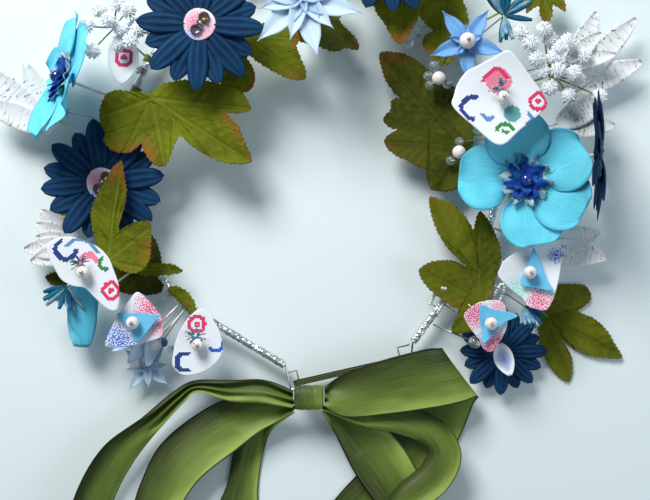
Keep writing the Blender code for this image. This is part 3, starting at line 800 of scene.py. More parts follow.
@dataclass(frozen=True)
class LeafCloth(Finish):
    """Printed leaf cloth: mottled green with pale veins, painted shade in the dip beside each, and a rim that
    reddens in places.
    """

    deep: Colour
    middle: Colour
    light: Colour
    rim: Colour
    vein: Colour
    reddening: float = 0.8

    def lay(self, graph: Graph, shader: bpy.types.Node) -> None:
        """Colour by two scales of mottling, the veins' mark, the rim's mark, and painted shade in the dip
        beside each vein.

        Args:
            graph: the material's nodes.
            shader: the material's surface node.
        """
        place = graph.place()
        broad = graph.noise(place, 45.0, 4.0)
        fine = graph.noise(place, 420.0, 4.0)
        body = graph.blend(graph.spread(broad, 0.35, 0.65), self.deep, self.middle)
        body = graph.blend(graph.math("MULTIPLY", graph.spread(fine, 0.4, 0.8), 0.4), body, self.light)
        far = graph.math("MULTIPLY", graph.spread(graph.mark("rim"), 0.62, 1.0), graph.mark("tips"))
        patchy = graph.math("MULTIPLY", graph.spread(graph.noise(place, 70.0, 3.0), 0.42, 0.62), far)
        body = graph.blend(graph.math("MULTIPLY", patchy, self.reddening), body, self.rim)
        veined = graph.math("MULTIPLY", graph.mark("vein"), 0.4)
        body = graph.blend(veined, body, self.vein)
        # Painted shade in the dip just beside each vein.
        body = graph.blend(graph.math("MULTIPLY", graph.mark("trough"), 0.5), body, self.deep)
        graph.put(shader.inputs["Base Color"], body)
        weave = graph.group(Effect.WEAVE.tree(), Vector=place, Threads=380.0)
        rough = graph.math("ADD", graph.math("MULTIPLY", weave.outputs["Tone"], 0.25), 0.5)
        graph.put(shader.inputs["Roughness"], rough)
        height = graph.math("ADD", weave.outputs["Height"], graph.math("MULTIPLY", graph.mark("vein"), 3.0))
        graph.put(shader.inputs["Normal"], graph.bump(height, 0.00008))
        shader.inputs["Specular IOR Level"].default_value = CLOTH_GLOSS


@dataclass(frozen=True)
class RibbonSatin(Finish):
    """Satin ribbon: fine ribs along its length, painted light and shade across it, and a dark wired edge
    painted pale on the side in light.
    """

    # deep and light are painted shade and painted highlight across the strip; light also lightens the ribs
    deep: Colour
    middle: Colour
    light: Colour
    # the dark wired edge on its shaded side, then the same edge painted pale on the side in light
    dark_edge: Colour
    pale_edge: Colour

    def lay(self, graph: Graph, shader: bpy.types.Node) -> None:
        """Colour from the ribs, painted light and shade across the width with a slow change, and the two edges,
        painted dark on the shaded side and pale on the side in light.

        Args:
            graph: the material's nodes.
            shader: the material's surface node.
        """
        uv = graph.place("UV")
        lit, edge = graph.mark("lit"), graph.mark("edge")
        ribs = graph.noise(graph.stretched(uv, (6.0, 160.0, 1.0)), 1.0, 3.0)
        slow = graph.noise(graph.stretched(uv, (5.0, 3.0, 1.0)), 1.0, 2.0)
        # Painted light and shade across the strip, with a slow random change in tone.
        tone = graph.math("ADD", graph.math("MULTIPLY", lit, 0.8), graph.math("MULTIPLY", slow, 0.4))
        body = graph.blend(graph.spread(tone, 0.25, 0.8), self.deep, self.middle)
        body = graph.blend(graph.spread(tone, 0.7, 1.1), body, self.light)
        body = graph.blend(graph.math("MULTIPLY", graph.spread(ribs, 0.35, 0.7), 0.22), body, self.light)
        near_edge = graph.spread(edge, 0.935, 0.955)
        # The wired edge: dark on the shaded side, painted pale on the side in light.
        side = graph.blend(graph.spread(lit, 0.45, 0.55), self.dark_edge, self.pale_edge)
        graph.put(shader.inputs["Base Color"], graph.blend(near_edge, body, side))
        rough = graph.math("ADD", graph.math("MULTIPLY", ribs, 0.2), 0.42)
        graph.put(shader.inputs["Roughness"], rough)
        height = graph.math("ADD", ribs, graph.math("MULTIPLY", near_edge, 3.0))
        graph.put(shader.inputs["Normal"], graph.bump(height, 0.00005))
        shader.inputs["Specular IOR Level"].default_value = SATIN_GLOSS


@dataclass(frozen=True)
class Arc:
    """One cross-stitched arc of a print, in millimetres from the petal's middle."""

    x: float
    y: float
    radius: float
    width: float
    colour: Colour
    start: float = -180.0
    sweep: float = 360.0


@dataclass(frozen=True)
class Dots:
    """One field of printed dots, in millimetres from the petal's middle."""

    x: float
    y: float
    radius: float
    colour: Colour


def on_print(place: float) -> float:
    """A place in mm from the petal's middle, as a flat coordinate."""
    return place / PRINT_SPAN + 0.5


@dataclass(frozen=True)
class PrintCloth(Finish):
    """White cotton with cross-stitched arcs and dotted fields printed on it."""

    arcs: tuple[Arc, ...] = ()
    dots: tuple[Dots, ...] = ()
    base: Colour = (236, 243, 250)
    cell: float = 0.8
    fineness: float = 170.0

    def lay(self, graph: Graph, shader: bpy.types.Node) -> None:
        """White with a faint cast, then each printed figure over it.

        Args:
            graph: the material's nodes.
            shader: the material's surface node.
        """
        uv = graph.place("UV")
        soft = graph.noise(graph.place(), 120.0, 3.0)
        colour = graph.blend(graph.math("MULTIPLY", soft, 0.3), self.base, (206, 218, 236))
        for spot in self.dots:
            mask = graph.group(
                Effect.SPECKLE.tree(), Vector=uv, Centre_X=on_print(spot.x), Centre_Y=on_print(spot.y),
                Radius=spot.radius / PRINT_SPAN, Fineness=self.fineness,
            )
            colour = graph.blend(mask.outputs["Mask"], colour, spot.colour)
        for arc in self.arcs:
            mask = graph.group(
                Effect.STITCHED_RING.tree(), Vector=uv, Cell=self.cell / PRINT_SPAN,
                Centre_X=on_print(arc.x), Centre_Y=on_print(arc.y), Radius=arc.radius / PRINT_SPAN,
                Width=arc.width / PRINT_SPAN, From=math.radians(arc.start), Sweep=arc.sweep / 360,
            )
            colour = graph.blend(mask.outputs["Mask"], colour, arc.colour)
        graph.put(shader.inputs["Base Color"], colour)
        weave = graph.group(Effect.WEAVE.tree(), Vector=graph.place(), Threads=520.0)
        rough = graph.math("ADD", graph.math("MULTIPLY", weave.outputs["Tone"], 0.15), 0.75)
        graph.put(shader.inputs["Roughness"], rough)
        graph.put(shader.inputs["Normal"], graph.bump(weave.outputs["Height"], 0.00005))


@dataclass(frozen=True)
class Gloss(Finish):
    """A hard finish with a little variation: pearl lacquer, button, bead or moulded plastic."""

    colour: Colour
    other: Colour
    roughness: float
    coat: float = 0.0
    metallic: float = 0.0
    bumpiness: float = 0.0

    def lay(self, graph: Graph, shader: bpy.types.Node) -> None:
        """Two colours in soft clouds, under a clear coat.

        Args:
            graph: the material's nodes.
            shader: the material's surface node.
        """
        place = graph.place()
        cloudy = graph.spread(graph.noise(place, 260.0, 4.0), 0.35, 0.65)
        graph.put(shader.inputs["Base Color"], graph.blend(cloudy, self.colour, self.other))
        rough = graph.math("ADD", graph.math("MULTIPLY", cloudy, 0.08), self.roughness)
        graph.put(shader.inputs["Roughness"], rough)
        shader.inputs["Metallic"].default_value = self.metallic
        shader.inputs["Coat Weight"].default_value = self.coat
        if self.bumpiness:
            height = graph.noise(place, 900.0, 4.0)
            graph.put(shader.inputs["Normal"], graph.bump(height, self.bumpiness))


@dataclass(frozen=True)
class Foil(Finish):
    """Crumpled foil tape: bright metal with creases in its direction and a dull patch here and there."""

    def lay(self, graph: Graph, shader: bpy.types.Node) -> None:
        """Creases from cells stretched round the tube.

        Args:
            graph: the material's nodes.
            shader: the material's surface node.
        """
        place = graph.place()
        cells = graph.node("ShaderNodeTexVoronoi", feature="DISTANCE_TO_EDGE")
        graph.put(cells.inputs["Vector"], place)
        cells.inputs["Scale"].default_value = 700.0
        crumple = graph.noise(place, 500.0, 6.0)
        dull = graph.spread(graph.noise(place, 150.0, 3.0), 0.4, 0.65)
        graph.put(shader.inputs["Base Color"], graph.blend(dull, (244, 247, 248), (188, 194, 196)))
        graph.put(shader.inputs["Roughness"], graph.math("ADD", graph.math("MULTIPLY", dull, 0.2), 0.22))
        height = graph.math("ADD", cells.outputs["Distance"], crumple)
        graph.put(shader.inputs["Normal"], graph.bump(height, 0.0004))
        shader.inputs["Metallic"].default_value = 1.0


@dataclass(frozen=True)
class Glass(Finish):
    """Clear glass bead."""

    tint: Colour = (232, 242, 245)

    def lay(self, graph: Graph, shader: bpy.types.Node) -> None:
        """Clear all through, with faint ripples in its surface.

        Args:
            graph: the material's nodes.
            shader: the material's surface node.
        """
        ripples = graph.noise(graph.place(), 300.0, 2.0)
        graph.put(shader.inputs["Base Color"], graph.blend(ripples, self.tint, (210, 226, 232)))
        graph.put(shader.inputs["Normal"], graph.bump(ripples, 0.0001))
        shader.inputs["Roughness"].default_value = 0.04
        shader.inputs["Transmission Weight"].default_value = 0.85
        shader.inputs["IOR"].default_value = 1.5


@dataclass(frozen=True)
class RuledPaper(Finish):
    """White paper with ruled lines and short strokes of dark print across it."""

    def lay(self, graph: Graph, shader: bpy.types.Node) -> None:
        """Five-line ruling from a wave across the petal, and strokes from stretched cells.

        Args:
            graph: the material's nodes.
            shader: the material's surface node.
        """
        uv = graph.place("UV")
        apart = graph.node("ShaderNodeSeparateXYZ")
        graph.put(apart.inputs[0], uv)
        ruled = graph.math("FRACT", graph.math("MULTIPLY", apart.outputs["X"], 13.0))
        lines = graph.math("GREATER_THAN", ruled, 0.9)
        inked = graph.noise(graph.stretched(uv, (26.0, 5.0, 1.0)), 1.0, 1.0)
        strokes = graph.math("GREATER_THAN", inked, 0.64)
        ink = graph.math("MAXIMUM", graph.math("MULTIPLY", lines, 0.45), graph.math("MULTIPLY", strokes, 0.85))
        faded = graph.math("MULTIPLY", ink, graph.spread(graph.noise(graph.place(), 60.0, 2.0), 0.35, 0.6))
        graph.put(shader.inputs["Base Color"], graph.blend(faded, (226, 231, 234), (60, 64, 72)))
        fibres = graph.noise(graph.place(), 700.0, 3.0)
        graph.put(shader.inputs["Roughness"], graph.math("ADD", graph.math("MULTIPLY", fibres, 0.2), 0.6))
        graph.put(shader.inputs["Normal"], graph.bump(fibres, 0.00004))


RED, ROSE, NAVY_INK = (222, 52, 104), (238, 132, 158), (28, 62, 130)
SLATE_INK, TEAL_INK, GREEN_INK = (92, 142, 190), (96, 170, 172), (48, 136, 70)
DOT_BLUE, DOT_PINK, MINT = (34, 92, 206), (228, 60, 122), (150, 218, 202)

# In each petal cloth the light colour is laid on in cloudy patches and, as painted highlight, along the
# streaks; in the daisy cloth also on raised lines, with the deep colour as painted shade in the grooves.
DAISY_CLOTH = PetalCloth(
    "daisy_cloth", (3, 16, 38), (12, 48, 86), (34, 86, 130), ridge=0.45, lines=0.42, sheen=0.0
)
ORCHID_CLOTH = PetalCloth("orchid_cloth", (26, 120, 176), (104, 220, 248), (140, 242, 255), 0.6, ridge=0.3)
STAR_CLOTH = PetalCloth("pale_star_cloth", (126, 168, 218), (198, 228, 250), (238, 247, 254), 0.42, ridge=0.5)
BLUE_STAR_CLOTH = PetalCloth("blue_star_cloth", (52, 108, 182), (112, 176, 240), (176, 218, 252), 0.42)
FLAP_CLOTH = PetalCloth("flap_cloth", (92, 178, 222), (104, 192, 234), (140, 212, 244), 0.7, ridge=0.25)
ROSETTE_CLOTH = PetalCloth("rosette_cloth", (8, 14, 70), (16, 50, 146), (40, 128, 206), 0.55, ridge=0.7)
FRINGE_CLOTH = PetalCloth("fringe_cloth", (24, 116, 96), (40, 132, 186), (232, 244, 244), 0.7, ridge=0.9)
TUFT_CLOTH = PetalCloth("tuft_cloth", (8, 28, 84), (16, 86, 142), (40, 150, 150), 0.6, ridge=0.9)
FERN_CLOTH = PetalCloth("fern_trim", (18, 96, 44), (46, 140, 70), (120, 196, 120), 0.6)
LEAF_BRIGHT = LeafCloth(
    "leaf_bright", (82, 90, 8), (112, 122, 16), (138, 144, 34), (158, 88, 44), (126, 136, 40)
)
LEAF_DEEP = LeafCloth("leaf_deep", (44, 50, 6), (72, 80, 12), (98, 104, 24), (110, 74, 30), (64, 68, 16), 0.5)
LEAF_OLIVE = LeafCloth(
    "leaf_olive", (70, 78, 8), (100, 108, 18), (126, 132, 36), (116, 76, 36), (88, 94, 22), 0.4
)
# Ribbon body colours run from painted shade through middle to painted highlight across each strip; the last two
# are the dark wired edge on its shaded side and painted pale on the side in light.
RIBBON = RibbonSatin("ribbon_satin", (26, 40, 12), (92, 112, 38), (164, 188, 92), (4, 8, 4), (70, 84, 44))
PEARL = Gloss("pearl_lacquer", (236, 228, 222), (248, 240, 238), 0.16, coat=0.6)
BUTTON = Gloss("button_gloss", (48, 36, 44), (84, 70, 82), 0.18, coat=0.7)
GOLD_BEAD = Gloss("gold_bead", (196, 168, 104), (226, 206, 150), 0.25, metallic=0.9)
BLUE_BEAD = Gloss("blue_bead", (24, 92, 142), (40, 142, 176), 0.12, coat=0.8)
STEEL_BEAD = Gloss("steel_bead", (96, 112, 122), (150, 172, 178), 0.2, coat=0.6, metallic=0.6)
PALE_BEAD = Gloss("pale_bead", (206, 212, 212), (232, 238, 238), 0.18, coat=0.6)
SILVER = Gloss("silver_wire", (168, 170, 172), (206, 208, 208), 0.28, metallic=1.0)
BLOSSOM = Gloss("blossom_white", (246, 250, 254), (236, 243, 250), 0.5, bumpiness=0.00003)
STALK = Gloss("stalk_green", (112, 130, 48), (138, 156, 74), 0.6, bumpiness=0.00005)
TAPE = Gloss("stem_tape", (176, 184, 176), (206, 212, 206), 0.6, bumpiness=0.00008)
DOME = Gloss("dome_gloss", (14, 34, 112), (22, 62, 160), 0.1, coat=1.0)
FOIL = Foil("crumpled_foil")
CLEAR = Glass("clear_glass")
PAPER = RuledPaper("ruled_paper")


# ------------------------------------------------------------------ places on the crown

@dataclass(frozen=True)
class Seat:
    """Where a flower, leaf or petal stands and which way it faces; the same values as its solid's."""

    angle: float  # degrees round the ring from +X
    out: float  # mm beyond the ring's centreline
    height: float  # mm above the table
    spin: float = 0.0  # degrees from outwards to the way its tip points
    lean: float = 0.0  # degrees that its face tips from straight up
    towards: float = 0.0  # degrees from outwards to the way it tips


@dataclass
class Ring:
    """The ring's centreline: an arc with two straight ends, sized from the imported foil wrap."""

    left_arc_end: float = 239.0  # degrees
    right_arc_end: float = -36.0  # degrees
    left_straight: float = 38.8  # mm
    right_straight: float = 40.7  # mm
    radius: float = 0.0
    height: float = 0.0
    foil: float = 0.0

    def __post_init__(self) -> None:
        """Reads the centreline's radius and height from the foil wrap's box."""
        low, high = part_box("foil_wrap")
        self.height = (low.z + high.z) / 2
        self.foil = (high.z - low.z) / 2
        self.radius = high.y - self.foil

    def point(self, angle: np.ndarray | float, out: float = 0.0) -> np.ndarray:
        """Points of the centreline at angles in degrees, pushed out by so many metres.

        Args:
            angle: degrees; past the arc's ends the line runs straight on at the same pace.
            out: metres outwards.

        Returns:
            One point, or n by 3 points.
        """
        angle = np.asarray(angle, float)
        held = np.clip(angle, self.right_arc_end, self.left_arc_end)
        turned_to, past = np.radians(held), np.radians(angle - held) * self.radius
        x = (self.radius + out) * np.cos(turned_to) - past * np.sin(turned_to)
        y = (self.radius + out) * np.sin(turned_to) + past * np.cos(turned_to)
        return np.stack([x, y, np.full_like(x, self.height)], -1)

    def ends(self) -> tuple[float, float]:
        """Angles of the right tip and the left tip, counted on past the arc.

        Returns:
            The two angles in degrees.
        """
        right = self.right_arc_end - math.degrees(self.right_straight * MM / self.radius)
        left = self.left_arc_end + math.degrees(self.left_straight * MM / self.radius)
        return right, left

    def matrix(self, seat: Seat) -> np.ndarray:
        """The 4 by 4 placing of a piece modelled face up at the origin with its tip along +X.

        Args:
            seat: where the piece stands.

        Returns:
            A 4 by 4 matrix.
        """
        facing = Vector((math.cos(math.radians(seat.angle)), math.sin(math.radians(seat.angle)), 0))
        place = facing * (self.radius + seat.out * MM)
        place.z = seat.height * MM
        tips = math.radians(seat.angle + seat.towards)
        axis = Vector((0, 0, 1)).cross(Vector((math.cos(tips), math.sin(tips), 0)))
        tipped = Matrix.Rotation(math.radians(seat.lean), 4, axis)
        spun = Matrix.Rotation(math.radians(seat.angle + seat.spin), 4, "Z")
        return np.array(Matrix.Translation(place) @ tipped @ spun)


@dataclass
class Crown:
    """What every sub-assembly needs: the ring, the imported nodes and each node's body."""

    frame: dict
    ring: Ring = field(default_factory=Ring)
    random: np.random.Generator = field(default_factory=lambda: np.random.default_rng(7))

    def body(self, node: str) -> str:
        """The body that a CAD node belongs to."""
        return self.frame["nodes"][node]["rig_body"]

    def vertices(self, node: str) -> np.ndarray:
        """A CAD node's points at rest.

        Args:
            node: the solid's name.

        Returns:
            The points, n by 3.
        """
        mesh = self.frame["nodes"][node].data
        points = np.empty(len(mesh.vertices) * 3, np.float32)
        mesh.vertices.foreach_get("co", points)
        return points.reshape(-1, 3).astype(float)

    def foot(self, node: str) -> np.ndarray:
        """The ring point where a node's stem is bound: the middle of its points close to the ring.

        Args:
            node: the solid's name.

        Returns:
            The place in metres.
        """
        points = self.vertices(node)
        right, left = self.ring.ends()
        line = self.ring.point(np.linspace(right, left, 400))
        apart = np.linalg.norm(points[:, None] - line[None], axis=2).min(1)
        return points[apart < self.ring.foil + 1.6 * MM].mean(0)

    def seated(
        self, obj: bpy.types.Object, node: str, slot: str, replaces: Sequence[str] = ()
    ) -> bpy.types.Object:
        """Puts a piece on a node's body and hides the solids that it stands for.

        Args:
            obj: the piece.
            node: the solid's name.
            slot: the record's material slot; not used.
            replaces: the solids that it stands for.

        Returns:
            The same piece.
        """
        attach(obj, self.body(node))
        if replaces:
            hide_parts(*replaces)
        LOG.info("%s rides on %s", obj.name, self.body(node))
        return obj

    def stem(self, node: str, target: np.ndarray, finish: Finish, slot: str, radius: float = 0.5) -> None:
        """The wire from the ring to a head, and the turns of tape that bind it.

        Args:
            node: the solid whose foot and body it takes.
            target: the head's middle, in metres.
            finish: the wire's covering.
            slot: the record's material slot.
            radius: the wire's radius in mm.
        """
        foot = self.foot(node)
        angle = math.atan2(foot[1], foot[0])
        outward = np.array([math.cos(angle), math.sin(angle), 0.0])
        tangent = np.array([-outward[1], outward[0], 0.0])
        run = target - foot
        start = foot + run / np.linalg.norm(run) * (self.ring.foil + 0.2 * MM)
        bow = outward * 0.06 * np.linalg.norm(run)
        route = smooth_route([start, foot * 0.55 + target * 0.45 + bow, target], 10)
        turns, lead = 3, 3.0 * MM
        phase = np.linspace(0, turns * 2 * np.pi, turns * 12)
        wound = foot + tangent * ((phase / phase[-1] - 0.5) * lead)[:, None]
        wrap_radius = self.ring.foil + 0.35 * MM
        wound = wound + wrap_radius * (
            outward * np.cos(phase)[:, None] + np.array([0, 0, 1.0]) * np.sin(phase)[:, None]
        )
        wire = tube(route, radius * MM, 7)
        tape = tube(wound, 0.45 * MM, 6)
        obj = piece(f"{node}_stem", [wire, tape], finish, merge=True)
        self.seated(obj, node, slot)

    def tie(self, name: str, host: str, target: np.ndarray, finish: Finish, radius: float = 0.35) -> None:
        """A thin wire from the nearest place on the ring to a loose trimming.

        Args:
            name: the wire's name.
            host: the node whose body carries it.
            target: where it ends, in metres.
            finish: its covering.
            radius: its radius in mm.
        """
        right, left = self.ring.ends()
        line = self.ring.point(np.linspace(right + 1, left - 1, 300))
        start = line[np.linalg.norm(line - target[:3], axis=1).argmin()]
        middle = (start + target[:3]) / 2 + np.array([0, 0, 1.0 * MM])
        wire = tube(smooth_route([start, middle, target[:3]], 8), radius * MM, 6)
        obj = piece(name, [wire], finish, merge=True)
        self.seated(obj, host, "wire")


# ------------------------------------------------------------------ leaves

LEAF_PITCH = 2.1  # mm between a leaf's teeth
MAPLE = (
    (26, 0), (19, 4.5), (13.5, 5), (8.5, 6), (13, 14), (15.5, 17), (9.5, 17), (3, 13), (-1, 9), (-4.5, 12),
    (-7, 14), (-11, 9), (-10, 4), (-9, 0), (-10, -4), (-11, -9), (-7, -14), (-4.5, -12), (-1, -9), (3, -13),
    (9.5, -17), (15.5, -17), (13, -14), (8.5, -6), (13.5, -5), (19, -4.5),
)
MAPLE_VEINS = ((25, 0), (15, 16.5), (15, -16.5), (-7, 13.5), (-7, -13.5))


@dataclass
class Leaf:
    """A pressed leaf cut to a pattern, with teeth round it and veins that run to its lobes."""

    node: str
    seat: Seat
    shape: tuple[Flat, ...]  # mm, anticlockwise, about the seat with the tip along +X
    veins: tuple[Flat, ...]  # where the main veins end
    heart: Flat  # where they start
    middle: Flat = (0.0, 0.0)  # a point that sees the whole edge
    cup: float = 1.5  # mm that the rim stands above the middle
    finish: LeafCloth = LEAF_BRIGHT
    tooth: float = 0.8  # mm
    host: str = ""  # the node that carries a leaf with no solid of its own

    def outline(self) -> np.ndarray:
        """The leaf's edge: a smooth loop through the pattern's corners, pushed out by a saw wave.

        The wave's height is the tooth's depth. It rises towards the nearest lobe's tip, so the teeth lean
        that way.

        Returns:
            The points, n by 2 in metres, at equal steps.
        """
        loop = closed_outline(self.shape)
        length = np.linalg.norm(np.diff(loop, axis=0, append=loop[:1]), axis=1).sum()
        loop = evenly(loop, int(length / (0.42 * MM)))
        ends = np.array(self.veins) * MM
        to_tip = np.linalg.norm(loop[:, None] - ends[None], axis=2).min(1)
        nearing = np.roll(to_tip, -2) < np.roll(to_tip, 2)
        along = np.arange(len(loop)) * 0.42 / LEAF_PITCH % 1.0
        saw = np.where(nearing, along, 1 - along) * np.clip(to_tip / (3 * MM), 0.3, 1)
        way = np.roll(loop, -1, 0) - np.roll(loop, 1, 0)
        out = np.stack([way[:, 1], -way[:, 0]], -1)
        out /= np.linalg.norm(out, axis=1, keepdims=True)
        return loop + out * (saw * self.tooth * MM)[:, None]

    def reach(self) -> float:
        """The distance from the heart to the farthest lobe, in metres."""
        return max(math.dist(self.heart, end) for end in self.veins) * MM

    def near_veins(self, x: np.ndarray, y: np.ndarray) -> tuple[np.ndarray, np.ndarray, np.ndarray]:
        """Where points lie by the leaf's main veins.

        Args:
            x: places across the leaf in metres.
            y: the same, the other way.

        Returns:
            The distance to the nearest vein, the distance along it from the heart, and to the nearest tip.
        """
        base = np.array(self.heart) * MM
        best, run, tip = np.full(x.shape, np.inf), np.zeros(x.shape), np.full(x.shape, np.inf)
        for flat_end in self.veins:
            end = np.array(flat_end) * MM
            whole = np.linalg.norm(end - base)
            way = (end - base) / whole
            along = np.clip((x - base[0]) * way[0] + (y - base[1]) * way[1], 0, whole)
            off = np.hypot(x - base[0] - along * way[0], y - base[1] - along * way[1])
            run = np.where(off < best, along, run)
            best = np.minimum(best, off)
            tip = np.minimum(tip, np.hypot(x - end[0], y - end[1]))
        return best, run, tip

    def build(self, crown: Crown) -> None:
        """Makes the leaf, and its stem where it has a solid.

        Args:
            crown: the crown that it goes on.
        """
        phase = crown.random.uniform(0, 2 * np.pi, 3)
        scale = self.reach()
        pitch = 4.6 * MM

        def height(x: np.ndarray, y: np.ndarray) -> np.ndarray:
            """Dished, raised between the veins, ribbed between the side veins, and waved at the rim.

            Args:
                x: places along X in metres.
                y: places along Y in metres.

            Returns:
                Heights in metres.
            """
            off, run, _ = self.near_veins(x, y)
            out = np.hypot(x - self.middle[0] * MM, y - self.middle[1] * MM) / scale
            angle = np.arctan2(y, x)
            dish = self.cup * MM * out**2
            pillow = 1.3 * MM * (1 - np.exp(-off / (2.6 * MM))) * np.minimum(1, 2 * out)
            ribs = 0.07 * MM * np.cos((run - 0.9 * off) / pitch * 2 * np.pi) * np.clip(off / (2 * MM), 0, 1)
            waves = 0.05 * scale * out**2 * (np.cos(3 * angle + phase[0]) + 0.7 * np.cos(5 * angle + phase[1]))
            return dish + pillow + ribs + (0.4 * np.abs(waves) if self.cup < 0.1 else waves)

        patch = fan(self.outline(), int(np.clip(scale / MM, 12, 34)), height, self.middle)
        x, y = patch.points[..., 0], patch.points[..., 1]
        off, run, tip = self.near_veins(x, y)
        side = np.cos((run - 0.9 * off) / pitch * 2 * np.pi)
        width = 0.22 * MM + 0.010 * np.maximum(0, scale - run)
        side_veins = 0.3 * np.clip((side - 0.94) / 0.06, 0, 1)
        patch.marks["vein"] = np.maximum(np.exp(-((off / width) ** 2)), side_veins)
        patch.marks["trough"] = np.exp(-(((off - 2.4 * width) / width) ** 2))
        patch.marks["tips"] = np.clip(1.3 - tip / (0.36 * scale), 0, 1)
        lift = 0.25 if self.cup < 0.1 else 0.0
        matrix = crown.ring.matrix(self.seat) @ shift(z=lift * MM)
        obj = piece(f"{self.node}_blade", [patch.moved(matrix)], self.finish, 0.3 * MM, merge=True)
        if self.host:
            crown.seated(obj, self.host, "leaf")
            foot = matrix @ np.array([*(np.array(self.heart) * MM), 0, 1])
            crown.tie(f"{self.node}_stem", self.host, foot, STALK)
            return
        crown.seated(obj, self.node, "leaf", [self.node])
        heart = matrix @ np.array([self.heart[0] * MM * 0.6, self.heart[1] * MM * 0.6, -0.3 * MM, 1])
        crown.stem(self.node, heart[:3], STALK, "leaf")


def maple(size: float) -> dict[str, tuple]:
    """The plain maple pattern at a size in mm, as a leaf's shape, veins, heart and middle.

    Args:
        size: the leaf's size in mm.

    Returns:
        The values for a leaf's shape, veins, heart and middle.
    """
    share = size / 26
    return {
        "shape": tuple((x * share, y * share) for x, y in MAPLE),
        "veins": tuple((x * share, y * share) for x, y in MAPLE_VEINS),
        "heart": (-6 * share, 0.0),
    }


